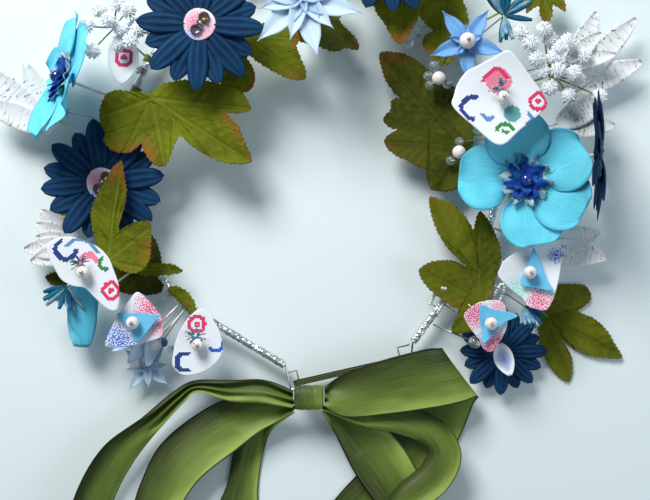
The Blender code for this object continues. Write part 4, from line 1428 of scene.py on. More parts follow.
LEAVES = (
    Leaf(
        "leaf_upper_left", Seat(161.7, -21.9, 22, 166),
        ((-27.3, -7.2), (-28.1, -13.5), (-25.4, -20.3), (-20.2, -23.4), (-18.8, -27.3), (-13.2, -28.6),
         (-7.2, -26.4), (-5.5, -23.2), (-4.3, -19.2), (0, -21.8), (4.8, -23.6), (10.3, -22.2), (9.3, -15.4),
         (8.5, -7.4), (14.3, -7.5), (19.8, -7.7), (29, -7.2), (35.1, -5), (42, 0), (37.1, 4.3), (32.6, 7.3),
         (28.7, 10.1), (20.8, 12.6), (25.9, 16.3), (29.4, 19.6), (24.4, 22.8), (18.7, 23.4), (9.6, 20.9),
         (1.1, 17.6), (-9.3, 8.9), (-12.6, 1.5), (-20.7, -2.5)),
        ((41, 0), (10.3, -22.2), (-8.2, -26.5), (-25.8, -19.6), (28.9, 19.8)), (-10.4, -0.3), cup=2.0,
    ),
    Leaf(
        "leaf_top_left", Seat(113.3, -31.2, 15, 208),
        ((-11.1, -2.1), (-4.4, -6.1), (2, -6.8), (9.5, -6), (16.1, -4.8), (20.6, -3.1), (24.8, 0.4), (21.3, 4),
         (17.1, 6.4), (12.2, 9.5), (11.4, 13.5), (5, 14.2), (-1.5, 11.4), (-8, 5)),
        ((24.2, 0.4), (11.9, 12.8)), (-9.1, -1.7), (2.7, 2.5), cup=2.0,
    ),
    Leaf(
        "leaf_top_centre", Seat(82.4, -21.8, 12, 231),
        ((-8.6, -10.7), (-4.9, -15.5), (-1.6, -17.4), (2.9, -14), (6.4, -12.3), (11.2, -10.5), (13.7, -7.9),
         (14.9, -4.6), (19.3, -1.2), (17.7, 1), (11.5, 1.8), (7.3, 1.4), (3, 2.9), (1.9, 8.3), (-4, 10.1),
         (-11.6, 4.7), (-13.9, -4.4)),
        ((18.7, -0.6), (-2.6, -16.4), (-1, 9.2)), (-8.2, -1.0), (-0.7, -2.4), 1.0, LEAF_DEEP,
    ),
    Leaf(
        "leaf_top_right", Seat(58.2, -3.6, 20, 198),
        ((0.2, -16.1), (7.9, -13.3), (12.3, -8.5), (16.5, -4.7), (19.4, -1.6), (20.2, 0.9), (17.9, 2.6),
         (11.9, 4.4), (5.6, 5.6), (-1.4, 5.8), (-6.9, 9.1), (-9.8, -1.8), (-5.3, -12.3)),
        ((19.8, 0.8), (1.8, -14.8), (-5.6, 7.6)), (-7.1, -4.9), (1.0, -3.8), 1.5,
    ),
    Leaf(
        "leaf_top_right_low", Seat(47.4, 0.6, 14, 225),
        ((-9.1, -9.5), (-3.7, -11.1), (1.9, -7.6), (6.2, -3.7), (8.7, -7.9), (12.3, -9), (16.6, -6),
         (22.2, -1.6), (19.7, 3.9), (13.1, 8.8), (2.7, 12), (-9.3, 7.9), (-12.5, -1.1)),
        ((21.8, -1.6), (-5.5, -10.1), (11, -8.5)), (-10.5, 2.0), (5.0, 0.4), 1.0,
    ),
    Leaf(
        "leaf_mid_right", Seat(19.4, -29.5, 12, 109),
        ((37.2, 0), (30.6, 3.5), (26.1, 5.2), (20.5, 5.6), (15.1, 4.6), (16.9, 8.4), (13.9, 12), (13, 16.8),
         (11, 17.8), (6.9, 16.4), (3.6, 13.7), (5, 18.4), (4.9, 22.7), (2.4, 24), (-1.4, 23.6), (-5.5, 22.1),
         (-8.9, 20.1), (-13.6, 18.6), (-16.6, 16.3), (-22.7, 18.8), (-26.1, 19.7), (-30.5, 15.6), (-32.9, 7.5),
         (-26.5, -2.2), (-16.3, -11.4), (-6.8, -17.8), (1.3, -17.2), (9.3, -16), (15.2, -13), (21.8, -11.3),
         (27.2, -9.7), (32.9, -5.4)),
        ((36.5, -0.1), (12, 17), (3.5, 23.2), (-28.4, 16.9)), (-21.1, -4.1), (0, 0.2), 2.0, LEAF_DEEP,
    ),
    Leaf(
        "leaf_right", Seat(-31.5, -8.3, 14, 144),
        ((27.4, 2.9), (22.6, 4.4), (17, 5.3), (11.6, 5.5), (5.4, 4.6), (0.8, 3.1), (-3.6, 0.9), (-9.8, -0.9),
         (-3.9, 5), (-1.4, 9.9), (-0.5, 14.4), (-1.5, 20.3), (-6.4, 20.4), (-11.4, 19), (-16.5, 16.2),
         (-22.4, 12.7), (-24.9, 10.3), (-28.4, 12.7), (-32.5, 16.9), (-34.9, 14.9), (-36, 8.4), (-32.7, 2.1),
         (-26.2, -3.5), (-18.8, -9.6), (-10.6, -15.9), (-2.5, -17.8), (5.1, -17.5), (12.1, -16), (11.2, -13.6),
         (5.4, -9.7), (10.4, -8.3), (15.4, -6.9), (21.5, -4), (24.4, -0.8)),
        ((26.4, 2.9), (-1.8, 19.5), (11.5, -15.2), (-32.4, 14.8)), (-26.5, 0.5), (-13.4, -4.9), 1.5, LEAF_OLIVE,
    ),
    Leaf(
        "leaf_lower_right", Seat(-32.9, 52.4, 0.4, 4),
        ((-15.6, 9), (-14.8, 1.9), (-9.5, -5.9), (-5.7, -10.8), (-2.2, -15.3), (3.9, -19.4), (10, -21.9),
         (15.9, -21.9), (13.8, -16.1), (10.9, -11.8), (4.7, -8.3), (-0.7, -4.3), (2.6, -4.6), (9.9, -7),
         (18.6, -6.4), (25.7, -3.6), (31.8, -0.2), (25.6, 3.3), (19.8, 7), (11.3, 8.8), (3.3, 8.7), (5.8, 15.9),
         (1.6, 20.6), (-7.1, 16.9), (-13.8, 12.6)),
        ((31.2, 0), (3.1, 19.8), (15.5, -21)), (-12.4, -0.6), (-7.0, 0.3), 0.0, LEAF_OLIVE,
    ),
    Leaf(
        "leaf_left", Seat(204.0, 0.9, 25, 255),
        ((31, 2.6), (26.2, 6.1), (21.8, 9.9), (14.8, 14.2), (6.9, 15.4), (-1, 14.4), (-7.2, 12.2), (-12.5, 7.2),
         (-15.1, 2.2), (-15.4, -2.7), (-12, -6.4), (-7.7, -8), (-1.6, -9.4), (4.7, -10), (6.1, -6.6), (5.2, -1),
         (3.3, 4.3), (7.7, 3.6), (13.6, 0.8), (20, -1.6), (25.9, -1.6), (30.3, -1.8), (34.4, -1.6)),
        ((33.6, -1.4), (2.1, -9.1), (-14.6, -3.3)), (-9.2, 11.2), (0.4, 8.8), 1.5,
    ),
    Leaf("leaf_lower_left", Seat(206.9, 37.1, 0.4, 323), **maple(13.7), cup=0.0, finish=LEAF_DEEP),
    Leaf("leaf_back_right", Seat(35.1, 43.6, 12, 237), **maple(13.3), cup=0.5),
    Leaf("leaf_back_top", Seat(100.0, 26.0, 0.4, 10), **maple(26.0), cup=0.0),
    Leaf(
        "leaf_small_top_left", Seat(131.1, -33.4, 14, 169),
        ((-10.5, -4.5), (-3.1, -7.2), (4.3, -7.2), (8.6, -4.4), (11.7, 0.1), (11.5, 3.4), (8.6, 6.6),
         (4.6, 7.9), (-0.7, 7.8), (-9.5, 7.1), (-13.5, 2.1)),
        ((11.8, 2.1), (8, 6.5)), (-12.0, 1.2), cup=1.0, host="foil_wrap",
    ),
    Leaf(
        "leaf_sliver_left", Seat(-144.8, -0.6, 13, 140),
        ((-8.1, -2.1), (-2.5, -3), (6.6, -1.8), (12.4, 0.1), (7.2, 2.4), (1.7, 2.4), (-2.9, 2), (-8.3, 0.7)),
        ((12, 0.1),), (-7.7, -0.7), cup=0.5, host="foil_wrap",
    ),
    # A low leaf in the deep cloth, laid where the shade under the left flowers is darkest; its darkness partly
    # stands for that shade.
    Leaf(
        "leaf_dark_left", Seat(-145.7, 11.4, 7, 136),
        ((-13.6, 0), (-7, -5.5), (3.3, -5.6), (12.3, -3.1), (12.8, 2.6), (6.2, 5.3), (-4.2, 5.4), (-13.8, 6.5)),
        ((12.8, -0.2),), (-13.3, 3.8), cup=0.5, finish=LEAF_DEEP, host="foil_wrap",
    ),
    Leaf(
        "leaf_behind_left", Seat(-149.7, -3.7, 12, 70),
        ((-3.5, -4.1), (4, -4), (11, -1.6), (8.9, 2.1), (0.5, 2.7), (-6.3, 1.1), (-10.5, -1.4)),
        ((9.6, 1),), (-9.2, -1.6), cup=0.5, finish=LEAF_DEEP, host="foil_wrap",
    ),
    Leaf(
        "leaf_olive_curl", Seat(-131.8, 0.1, 12, 72),
        ((-3.8, -2.1), (1, -1.1), (5.4, 0), (9.1, 1), (3.3, 3.9), (-2.7, 3.6), (-7.4, 1), (-8.4, -2.6)),
        ((8.7, 1.3),), (-7.9, -1.8), cup=1.5, finish=LEAF_OLIVE, host="foil_wrap",
    ),
    Leaf(
        "leaf_far_left", Seat(-168.7, 31.7, 6, 339),
        ((4.4, -0.7), (1, -3.2), (-3.7, -3), (-5.2, 0), (-1.8, 2.5), (2.4, 2.7)),
        ((3.7, 0.6),), (-4.5, -1.3), cup=0.5, host="foil_wrap",
    ),
)


# ------------------------------------------------------------------ daisies

def daisy_outline(s: np.ndarray) -> np.ndarray:
    """Narrow at the base, widest at two thirds, and closed by a pointed ellipse."""
    grown = 0.42 + 0.58 * np.sin(np.pi / 2 * np.clip(s / 0.62, 0, 1))
    return grown * np.sqrt(np.clip(1 - np.clip((s - 0.55) / 0.45, 0, 1) ** 2.3, 0, 1)) ** 1.15


@dataclass
class Daisy:
    """A navy daisy: two layers of ridged petals round a small heart."""

    node: str
    seat: Seat
    radius: float = 28.5  # mm
    petals: int = 8
    button: bool = False

    def layer(self, crown: Crown, drop: float, offset: float, reach: float) -> list[Patch]:
        """One ring of petals.

        Args:
            crown: supplies the random draws.
            drop: mm below the seat.
            offset: turn of the whole layer, as a share of the pitch.
            reach: share of the radius.

        Returns:
            The petals' patches, round the origin.
        """
        patches = []
        pitch = 360 / self.petals
        wide = 2 * math.pi * self.radius * 0.62 / self.petals * 0.7
        for i in range(self.petals):
            size, roll, lift, sway = crown.random.uniform(-1, 1, 4)

            def relief(s: np.ndarray, t: np.ndarray) -> np.ndarray:
                """Rises from the heart, arches, dips at the tip, with two grooves along it.

                Args:
                    s: the share along the petal.
                    t: the share across it, -1 to 1.

                Returns:
                    Heights in metres.
                """
                arch = 1.9 * np.sin(np.pi * np.clip(s, 0, 1) ** 0.8) + (0.6 + 0.7 * lift) * s**2
                grooves = 0.36 * np.cos(np.pi * 3 * t) * np.clip(5 * s * (1 - s), 0, 1)
                curl = -0.7 * t**2 * np.sin(np.pi * s)
                return (arch + grooves + curl) * MM

            length = self.radius * reach * (1 + 0.05 * size) * MM
            made = petal(length, wide * MM, daisy_outline, relief, 18, 13, abs(roll) * 0.6)
            tipped = turn("X", 7 * roll) @ turn("Y", -1.5 * lift)
            patches.append(made.moved(turn_z(pitch * (i + offset) + 2 * sway) @ shift(z=-drop * MM) @ tipped))
        return patches

    def build(self, crown: Crown) -> None:
        """Makes both layers, the heart and the stem.

        Args:
            crown: the crown that it goes on.
        """
        matrix = crown.ring.matrix(self.seat)
        patches = self.layer(crown, 0.0, 0.0, 1.0) + self.layer(crown, 1.5, 0.5, 0.93)
        obj = piece(f"{self.node}_petals", [p.moved(matrix) for p in patches], DAISY_CLOTH, 0.28 * MM)
        crown.seated(obj, self.node, "daisy", [self.node])
        crown.stem(self.node, matrix[:3, 3], TAPE, "daisy", 0.55)
        if self.button:
            self.build_button(crown, matrix)
        else:
            heart = turned([(0, 1.5e-3), (2e-3, 1.6e-3), (3.4e-3, 1.0e-3), (3.6e-3, 0), (0, -1e-3)], 20)
            heart = heart.moved(matrix @ shift(z=0.6 * MM))
            obj = piece(f"{self.node}_heart", [heart], DAISY_CLOTH, merge=True)
            crown.seated(obj, self.node, "daisy")

    def build_button(self, crown: Crown, matrix: np.ndarray) -> None:
        """The printed disc, the two sequins and the beads sewn through them.

        Args:
            crown: the crown that it goes on.
            matrix: the flower's own frame.
        """
        low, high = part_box(f"{self.node}_disc")
        matrix = matrix.copy()
        matrix[2, 3] = (low.z + high.z) / 2
        matrix = matrix @ turn_z(5.5 - self.seat.angle)
        reach = (high.x - low.x) / 2
        turns = np.linspace(0, 2 * np.pi, 64, endpoint=False)
        edge = reach * (1 + 0.02 * np.cos(3 * turns))[:, None] * np.stack([np.cos(turns), np.sin(turns)], -1)
        disc = fan(edge, 12, lambda x, y: 0.5 * MM * (1 - (np.hypot(x, y) / reach) ** 2))
        pinks = (Dots(-1.4, 0.6, 7.0, DOT_PINK), Dots(2.2, -2.0, 6.0, ROSE), Dots(-3.0, -3.6, 3.0, DOT_BLUE))
        cloth = PrintCloth("disc_print", dots=pinks, fineness=300.0)
        obj = piece(f"{self.node}_disc_cloth", [disc.moved(matrix)], cloth, 0.5 * MM, merge=True)
        crown.seated(obj, f"{self.node}_disc", "print_fabric", [f"{self.node}_disc"])
        profile = [(0.5e-3, 0.2e-3), (1.1e-3, 0.3e-3), (2.2e-3, 0.9e-3), (2.5e-3, 0.7e-3), (2.3e-3, 0.4e-3),
                   (1.2e-3, 0), (0.5e-3, 0), (0.5e-3, 0.2e-3)]
        sequins = [turned(profile, 26).moved(matrix @ shift(x, y, 0.9 * MM)) for x, y in
                   ((2.3e-3, 2.5e-3), (-1.6e-3, -2.4e-3))]
        obj = piece(f"{self.node}_sequins", sequins, BUTTON, merge=True)
        crown.seated(obj, f"{self.node}_button", "button", [f"{self.node}_button"])
        places = np.array([(2.3, 1.2, 2.0), (0.6, 0.2, 2.0)]) * MM
        beads = strewn(globe(1.0 * MM, 16, 10), places)
        obj = piece(f"{self.node}_gold_beads", [b.moved(matrix) for b in beads], GOLD_BEAD, merge=True)
        crown.seated(obj, f"{self.node}_button", "button")
        places = np.array([(0.2, -1.2, 1.4), (1.0, -2.2, 1.3), (-0.6, 1.2, 1.4), (3.4, -0.2, 1.3)]) * MM
        beads = strewn(globe(0.7 * MM, 14, 8), places)
        obj = piece(f"{self.node}_blue_beads", [b.moved(matrix) for b in beads], BLUE_BEAD, merge=True)
        crown.seated(obj, f"{self.node}_button", "button")


DAISIES = (
    Daisy("daisy_top_left", Seat(130.3, -13.1, 36), button=True),
    Daisy("daisy_left", Seat(186.7, 7.6, 17), button=True),
    Daisy("daisy_right", Seat(0.3, 39.1, 31, lean=78)),
    Daisy("daisy_lower_right", Seat(-45.0, 37.5, 7), radius=20.5),
    Daisy("daisy_top", Seat(69.0, 10.0, 33)),
)


# ------------------------------------------------------------------ orchids

@dataclass
class Orchid:
    """A light blue orchid: five broad petals pleated into a printed, gathered heart with a glossy dome."""

    node: str
    seat: Seat
    petal_turns: tuple[float, ...]  # degrees round the flower, in the order in which they overlap
    radius: float = 29.0  # mm

    def build(self, crown: Crown) -> None:
        """Makes the petals, the heart, the fringe, the dome and the stem.

        Args:
            crown: the crown that it goes on.
        """
        matrix = crown.ring.matrix(self.seat)
        patches = []
        for i, angle in enumerate(self.petal_turns):
            wave, tilt = crown.random.uniform(0, 2 * np.pi), crown.random.uniform(-1, 1)

            def outline(s: np.ndarray) -> np.ndarray:
                """Narrow at the heart, then a broad round."""
                return 0.2 + 0.8 * np.sqrt(np.clip(1 - ((s - 0.6) / 0.42) ** 2, 0, 1)) * np.clip(s / 0.3, 0, 1)

            def relief(s: np.ndarray, t: np.ndarray) -> np.ndarray:
                """Cupped, with pleats that fade outwards and a slow wave round the edge.

                Args:
                    s: the share along the petal.
                    t: the share across it, -1 to 1.

                Returns:
                    Heights in metres.
                """
                pleats = 1.3 * np.cos(5.5 * t + wave) * np.clip(1 - s / 0.62, 0, 1) ** 0.8
                edge = 1.1 * np.sin(3 * t + wave) * s**2
                cup = 3.0 * s**1.4 + 2.2 * np.abs(t) ** 2.4 * s - 4.5 * np.clip(s - 0.7, 0, 1)
                return (cup + pleats + edge + 0.8 * (i % 3)) * MM

            shape = petal(self.radius * 0.965 * MM, self.radius * MM, outline, relief, 28, 27, 0.25 * abs(tilt))
            patches.append(shape.moved(matrix @ turn_z(angle) @ shift(1.5 * MM) @ turn("X", 4 * tilt)))
        obj = piece(f"{self.node}_petals", patches, ORCHID_CLOTH, 0.35 * MM)
        crown.seated(obj, self.node, "orchid", [self.node])
        crown.stem(self.node, matrix[:3, 3], TAPE, "orchid", 0.6)
        self.build_heart(crown, matrix)

    def ruffle(self, radius: float, rise: float, folds: int, depth: float, phase: float) -> Patch:
        """A gathered round of cloth: its rim waves up and down, with the outline toothed in step.

        Args:
            radius: mm to the rim.
            rise: mm above the petals.
            folds: waves round it.
            depth: mm of the waves.
            phase: turn of the waves in radians.

        Returns:
            The round's patch about the origin.
        """
        turns = np.linspace(0, 2 * np.pi, 120, endpoint=False)
        reach = radius * (0.86 + 0.14 * np.cos(folds * turns + phase) + 0.05 * np.cos(2.6 * folds * turns))
        edge = reach[:, None] * MM * np.stack([np.cos(turns), np.sin(turns)], -1)

        def height(x: np.ndarray, y: np.ndarray) -> np.ndarray:
            """Rises to the rim and waves there."""
            share = np.hypot(x, y) / (radius * MM)
            return (rise + 2.2 * share**2 + depth * share**2 * np.sin(folds * np.arctan2(y, x) + phase)) * MM

        patch = fan(edge, 12, height)
        share = np.hypot(patch.points[..., 0], patch.points[..., 1]) / (radius * MM)
        patch.marks.update(along=share, across=share, shade=0 * share)
        return patch

    def build_heart(self, crown: Crown, matrix: np.ndarray) -> None:
        """The fringe, two gathered rounds and the dome.

        Args:
            crown: the crown that it goes on.
            matrix: the flower's own frame.
        """
        heart = f"{self.node}_centre"
        fringe = [self.ruffle(12.0, 1.5, 10, 1.4, 0.3).moved(matrix)]
        obj = piece(f"{self.node}_fringe", fringe, FRINGE_CLOTH, 0.25 * MM, merge=True)
        crown.seated(obj, heart, "rosette")
        sizes = ((9.8, 2.2, 7, 1.5, 1.1), (6.8, 3.0, 6, 1.3, 2.4))
        rounds = [self.ruffle(*size).moved(matrix) for size in sizes]
        obj = piece(f"{self.node}_rosette", rounds, ROSETTE_CLOTH, 0.25 * MM, merge=True)
        crown.seated(obj, heart, "rosette", [heart])
        dome = globe(3.0 * MM).moved(matrix @ shift(z=4.3 * MM))
        crown.seated(piece(f"{self.node}_dome", [dome], DOME, merge=True), heart, "rosette")
        blades = []
        for _ in range(9):
            angle = crown.random.uniform(0, 360)
            made = petal(5.5 * MM, 1.3 * MM, lambda s: np.sin(np.pi * np.clip(s, 0.04, 0.97)),
                         lambda s, t: (1.4 + 2.0 * s**2 + 0.2 * t**2) * MM, 7, 5, 0.0)
            blades.append(made.moved(matrix @ turn_z(angle) @ shift(6.0 * MM)))
        obj = piece(f"{self.node}_fern", blades, FERN_CLOTH, 0.2 * MM)
        crown.seated(obj, heart, "rosette")


ORCHIDS = (
    Orchid("orchid_right", Seat(-6.2, 8.2, 27, spin=0), (-74.0, 34.0, 108.0, 183.0, -22.0)),
    Orchid("orchid_left", Seat(162.7, 25.1, 32, lean=62), (0.0, 144.0, 72.0, 216.0, 288.0)),
)


# ------------------------------------------------------------------ printed petals, pearls and stars

@dataclass
class Trim:
    """What is threaded at the middle of a petal."""

    pearl: str | None = None
    triangle: str | None = None
    cluster: bool = False  # a burst of bugle beads round the pearl


@dataclass
class PrintPetal:
    """A printed cotton petal on its stem, with what is sewn to it."""

    node: str
    seat: Seat
    shape: tuple[Flat, ...]  # mm, once round, about the seat
    cloth: PrintCloth
    trim: Trim = field(default_factory=Trim)
    middle: Flat = (0.0, 0.0)
    flap: tuple[Flat, ...] = ()  # the blue triangle's corners, in the same frame

    def outline(self) -> np.ndarray:
        """The petal's edge: a smooth loop through its pattern's corners."""
        return evenly(closed_outline(self.shape), 140)

    def build(self, crown: Crown) -> None:
        """Makes the petal, its stem and its trim.

        Args:
            crown: the crown that it goes on.
        """
        matrix = crown.ring.matrix(self.seat)
        phase = crown.random.uniform(0, 2 * np.pi)

        def height(x: np.ndarray, y: np.ndarray) -> np.ndarray:
            """A shallow dish with one side lifted, curling at the tip."""
            share = np.hypot(x, y) / (16 * MM)
            return (1.0 * share**2 + 0.9 * share**2 * np.cos(2 * np.arctan2(y, x) + phase)) * MM

        patch = fan(self.outline(), 20, height, self.middle).moved(matrix)
        obj = piece(f"{self.node}_cloth", [patch], self.cloth, 0.35 * MM, merge=True)
        crown.seated(obj, self.node, "print_fabric", [self.node])
        crown.stem(self.node, matrix[:3, 3], SILVER, "wire", 0.4)
        if self.trim.triangle:
            self.build_triangle(crown, matrix)
        if self.trim.pearl:
            build_pearl(crown, self.trim.pearl, self.node)
        if self.trim.cluster:
            self.build_cluster(crown)

    def build_triangle(self, crown: Crown, matrix: np.ndarray) -> None:
        """The folded blue triangle under the pearl: three corners with sides drawn in.

        Args:
            crown: the crown that it goes on.
            matrix: the flower's own frame.
        """
        node = str(self.trim.triangle)
        low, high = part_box(node)
        matrix = matrix.copy()
        matrix[2, 3] = (low.z + high.z) / 2
        edge = evenly(closed_outline(self.flap, 6), 100)
        middle = np.mean(self.flap, axis=0)
        patch = fan(edge, 12, lambda x, y: 1.0 * MM * (np.hypot(x, y) / (9 * MM)) ** 2, tuple(middle))
        share = patch.marks["rim"]
        patch.marks.update(along=share, across=0 * share, shade=0 * share)
        obj = piece(f"{node}_cloth", [patch.moved(matrix)], FLAP_CLOTH, 0.3 * MM, merge=True)
        crown.seated(obj, node, "orchid", [node])

    def build_cluster(self, crown: Crown) -> None:
        """Bugle beads that stand out like a burst beside the pearl, round a few seed beads.

        Args:
            crown: the crown that it goes on.
        """
        low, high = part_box(str(self.trim.pearl))
        pearl = np.array((low + high) / 2)
        heart = pearl + np.array([-1.2 * MM, 4.2 * MM, -0.6 * MM])
        spikes, seeds = [], []
        for _ in range(22):
            angle, lift = crown.random.uniform(0, 2 * np.pi), crown.random.uniform(0.05, 0.75)
            way = np.array([math.cos(angle) * math.cos(lift), math.sin(angle) * math.cos(lift), math.sin(lift)])
            reach = crown.random.uniform(3.4, 5.6) * MM
            spikes.append(tube(heart + np.outer(np.linspace(0.2, 1, 3), way * reach), 0.28 * MM, 6))
            seeds.append(globe(0.55 * MM, 8, 6).moved(shift(*(heart + way * reach * 0.35))))
        obj = piece(f"{self.node}_bugles", spikes, STEEL_BEAD, merge=True)
        crown.seated(obj, self.node, "print_fabric")
        crown.seated(piece(f"{self.node}_seeds", seeds[:14], BLUE_BEAD, merge=True), self.node, "print_fabric")


def bored(radius: float, bore: float, steps: int) -> np.ndarray:
    """The outer profile of a ball with a hole along its axis, from the lower rim to the upper.

    Args:
        radius: the ball's radius in metres.
        bore: the hole's radius in metres.
        steps: points from rim to rim.

    Returns:
        Radius and height pairs, in metres.
    """
    start = math.asin(bore / radius)
    polar = np.linspace(start, math.pi - start, steps)
    return np.stack([radius * np.sin(polar), -radius * np.cos(polar)], -1)


def build_pearl(crown: Crown, node: str, holder: str) -> None:
    """A smooth pearl with its bore, the pin through it and the pin's knob.

    Args:
        crown: the crown.
        node: the pearl's solid.
        holder: the node whose body carries the pin.
    """
    low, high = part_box(node)
    middle, radius, bore = np.array((low + high) / 2), (high.x - low.x) / 2, 0.7 * MM
    profile = bored(radius, bore, 22)
    profile = np.concatenate([profile, [[bore, 0.0]], profile[:1]])
    ball = turned(profile, 32).moved(shift(*middle))
    crown.seated(piece(f"{node}_ball", [ball], PEARL, merge=True), node, "pearl", [node])
    ends = np.array([[0, 0, -radius - 0.6 * MM], [0, 0, 0], [0, 0, radius + 0.3 * MM]])
    pin = tube(middle + ends, 0.4 * MM, 8)
    knob = globe(0.9 * MM, 14, 9).moved(shift(*(middle + np.array([0, 0, radius + 0.7 * MM]))))
    crown.seated(piece(f"{node}_pin", [pin, knob], SILVER, merge=True), holder, "wire")


def printed(name: str, arcs: Sequence[Arc] = (), dots: Sequence[Dots] = ()) -> PrintCloth:
    """A print with its own figures."""
    return PrintCloth(name, tuple(arcs), tuple(dots))


def rose(x: float, y: float, size: float, colour: Colour = RED) -> tuple[Arc, Arc]:
    """A stitched square rose: a ring round a filled middle."""
    return Arc(x, y, size, size * 0.5, colour), Arc(x, y, 0.0, size * 0.8, colour)


PRINT_PETALS = (
    PrintPetal(
        "print_petal_upper_right", Seat(16.2, -1.5, 41, spin=295),
        ((-15.3, 9.7), (-17.5, 1.3), (-18.7, -4), (-17.2, -10.2), (-14.6, -14.4), (-11, -18.2), (2.1, -17),
         (14.6, -14.4), (15.5, -3), (15.9, 9.9), (13.2, 14), (-0.4, 15.6), (-12.9, 15.6)),
        printed("rose_print_upper_right", (
            Arc(-6.7, 3.6, 3.0, 4.6, ROSE), Arc(-7.4, 2.6, 5.0, 1.6, RED, 60, 170), *rose(11.0, 10.6, 3.2),
            Arc(-5.6, -12.6, 4.4, 2.0, NAVY_INK, 110, 220), Arc(0.4, -8.3, 3.0, 1.7, SLATE_INK, 240, 130),
            Arc(7.7, -1.4, 1.8, 3.4, TEAL_INK), Arc(13.4, 2.2, 2.2, 1.6, SLATE_INK, -60, 200),
            Arc(11.6, -9.2, 3.4, 1.7, GREEN_INK, 61, 160), Arc(9.4, -6.4, 3.2, 1.5, GREEN_INK, -80, 60),
        )), Trim("pearl_upper_right", cluster=True), (-0.6, -0.4),
    ),
    PrintPetal(
        "print_petal_left", Seat(207.2, 24.4, 30, spin=103),
        ((-14.7, -7.8), (-9, -9.2), (-3.9, -10), (1.3, -8), (5.4, -4.6), (11.6, -4), (19, -2.8), (22, -0.7),
         (21.1, 1.8), (18, 5), (13.7, 8.1), (7.6, 10.4), (2.1, 12.1), (-4, 11.7), (-10.2, 9.2), (-15.8, 5.3),
         (-19.2, 0.6), (-19.7, -4.8)),
        printed("rose_print_left", (
            *rose(13.4, 3.2, 3.4), Arc(-13.5, -0.2, 4.2, 2.0, NAVY_INK, 160, 250),
            Arc(-6.0, 1.1, 8.6, 1.6, SLATE_INK, 70, 115), Arc(-2.0, 3.4, 3.6, 2.8, ROSE, 50, 220),
            Arc(2.6, 9.0, 2.4, 1.6, GREEN_INK, 160, 200),
        )), Trim("pearl_left", cluster=True), (-2.4, 2.0),
    ),
    PrintPetal(
        "print_petal_lower_left", Seat(223.1, 20.1, 24, spin=350),
        ((-2.3, -9.1), (3.6, -7.2), (9, -4.2), (13.5, -1.3), (16.7, 2), (12.5, 5.3), (5.6, 8.7), (-1, 10.9),
         (-6.9, 12), (-9.5, 8.4), (-11.2, 4.2), (-10.5, -3.7), (-8.3, -10.5)),
        printed("dot_print_lower_left", dots=(Dots(-10.0, -0.5, 9.5, DOT_PINK), Dots(10.5, 3.5, 8.5, DOT_BLUE),
                                              Dots(-8.0, 7.5, 5.5, ROSE))),
        Trim("pearl_lower_left", "blue_triangle_left"), (0.0, 1.7),
        ((4.1, -7.1), (3.6, -0.5), (3.4, 4), (3.8, 8.1), (-1.8, 7.1), (-6.6, 5.5), (-11.5, 3.8), (-8.3, 1.2),
         (-4.2, -2.2), (0.4, -5)),
    ),
    PrintPetal(
        "print_petal_bow_left", Seat(239.0, 10.3, 20, spin=211),
        ((12.9, 3.8), (7.5, 7.8), (1.2, 10.5), (-3.8, 11.4), (-8.7, 11.9), (-11.9, 10.1), (-14.1, 6.9),
         (-13.7, 1.1), (-11.4, -4.3), (-8.3, -7.9), (-4.2, -10.5), (-0.2, -10.6), (4.8, -9.7), (8.8, -7.9),
         (12.9, -4.8), (16, -0.7)),
        printed("rose_print_bow_left", (
            *rose(8.6, 0.5, 3.3), Arc(-8.4, 5.6, 3.8, 2.0, NAVY_INK, -30, 240),
            Arc(0.0, -8.0, 3.2, 1.6, DOT_BLUE, 120, 160),
        )), Trim("pearl_bow_left", cluster=True), (0.7, 0.2),
    ),
    PrintPetal(
        "print_petal_right", Seat(-27.7, 22.8, 21, spin=93),
        ((16.1, -0.6), (11, 3), (5.3, 8.8), (-0.1, 11.9), (-3.6, 12.1), (-7.1, 11.5), (-9.4, 6.4), (-11, 1.3),
         (-11.7, -2.5), (-14, -6.3), (-13.6, -10.3), (-12.3, -14.2), (-7.9, -15.1), (-2.2, -14.7),
         (4.2, -13.5), (10.3, -11.7), (15.8, -9.2), (18.3, -6.5), (19.4, -3.6)),
        printed("dot_print_right", dots=(Dots(-10.5, -10.0, 7.5, DOT_PINK), Dots(-9.5, 1.5, 7.0, MINT),
                                         Dots(12.0, -8.5, 4.0, DOT_BLUE))),
        Trim("pearl_right", "blue_triangle_right"), (-0.5, -2.3),
        ((4.9, 2.1), (-0.9, 1.9), (-6.6, 1), (-5.7, -3.7), (-4.7, -8.2), (-2.9, -13.1), (0.1, -9), (4.9, -4.3),
         (8.5, -0.2), (10.6, 2.8)),
    ),
    PrintPetal(
        "print_petal_lower_right", Seat(-42.8, 21.3, 24, spin=109),
        ((6.8, 7.5), (2.6, 10.5), (-1, 11.9), (-3.9, 9.6), (-6.7, 4.9), (-9.1, 0.4), (-11.7, -2.6), (-11.6, -6),
         (-8.1, -7.4), (-2.9, -8.1), (2.3, -7.7), (7.8, -4.8), (10.3, -2.7), (10.7, 0.9)),
        printed("dot_print_lower_right", dots=(Dots(1.0, 8.5, 8.0, DOT_PINK), Dots(-8.0, -4.5, 8.0, DOT_PINK),
                                               Dots(8.0, -1.0, 5.0, ROSE))),
        Trim("pearl_lower_right", "blue_triangle_lower"), (-0.7, 1.2),
        ((0.1, 5), (-5.3, 1.7), (-10, -0.9), (-2.9, -3.7), (3, -5.9), (7.9, -9.8), (7.7, -4.4), (6.1, 1.3),
         (5.8, 7.2)),
    ),
    PrintPetal(
        "print_petal_back_left", Seat(152.0, 9.0, 17, spin=115),
        ((11.5, 0), (7.5, 4.5), (2, 7), (-4, 6.6), (-8.6, 3.6), (-10.5, -1), (-8.2, -5), (-3, -7), (3, -6.4),
         (8, -3.6)),
        printed("rose_print_back", rose(-1.0, 0.0, 3.4)),
    ),
)


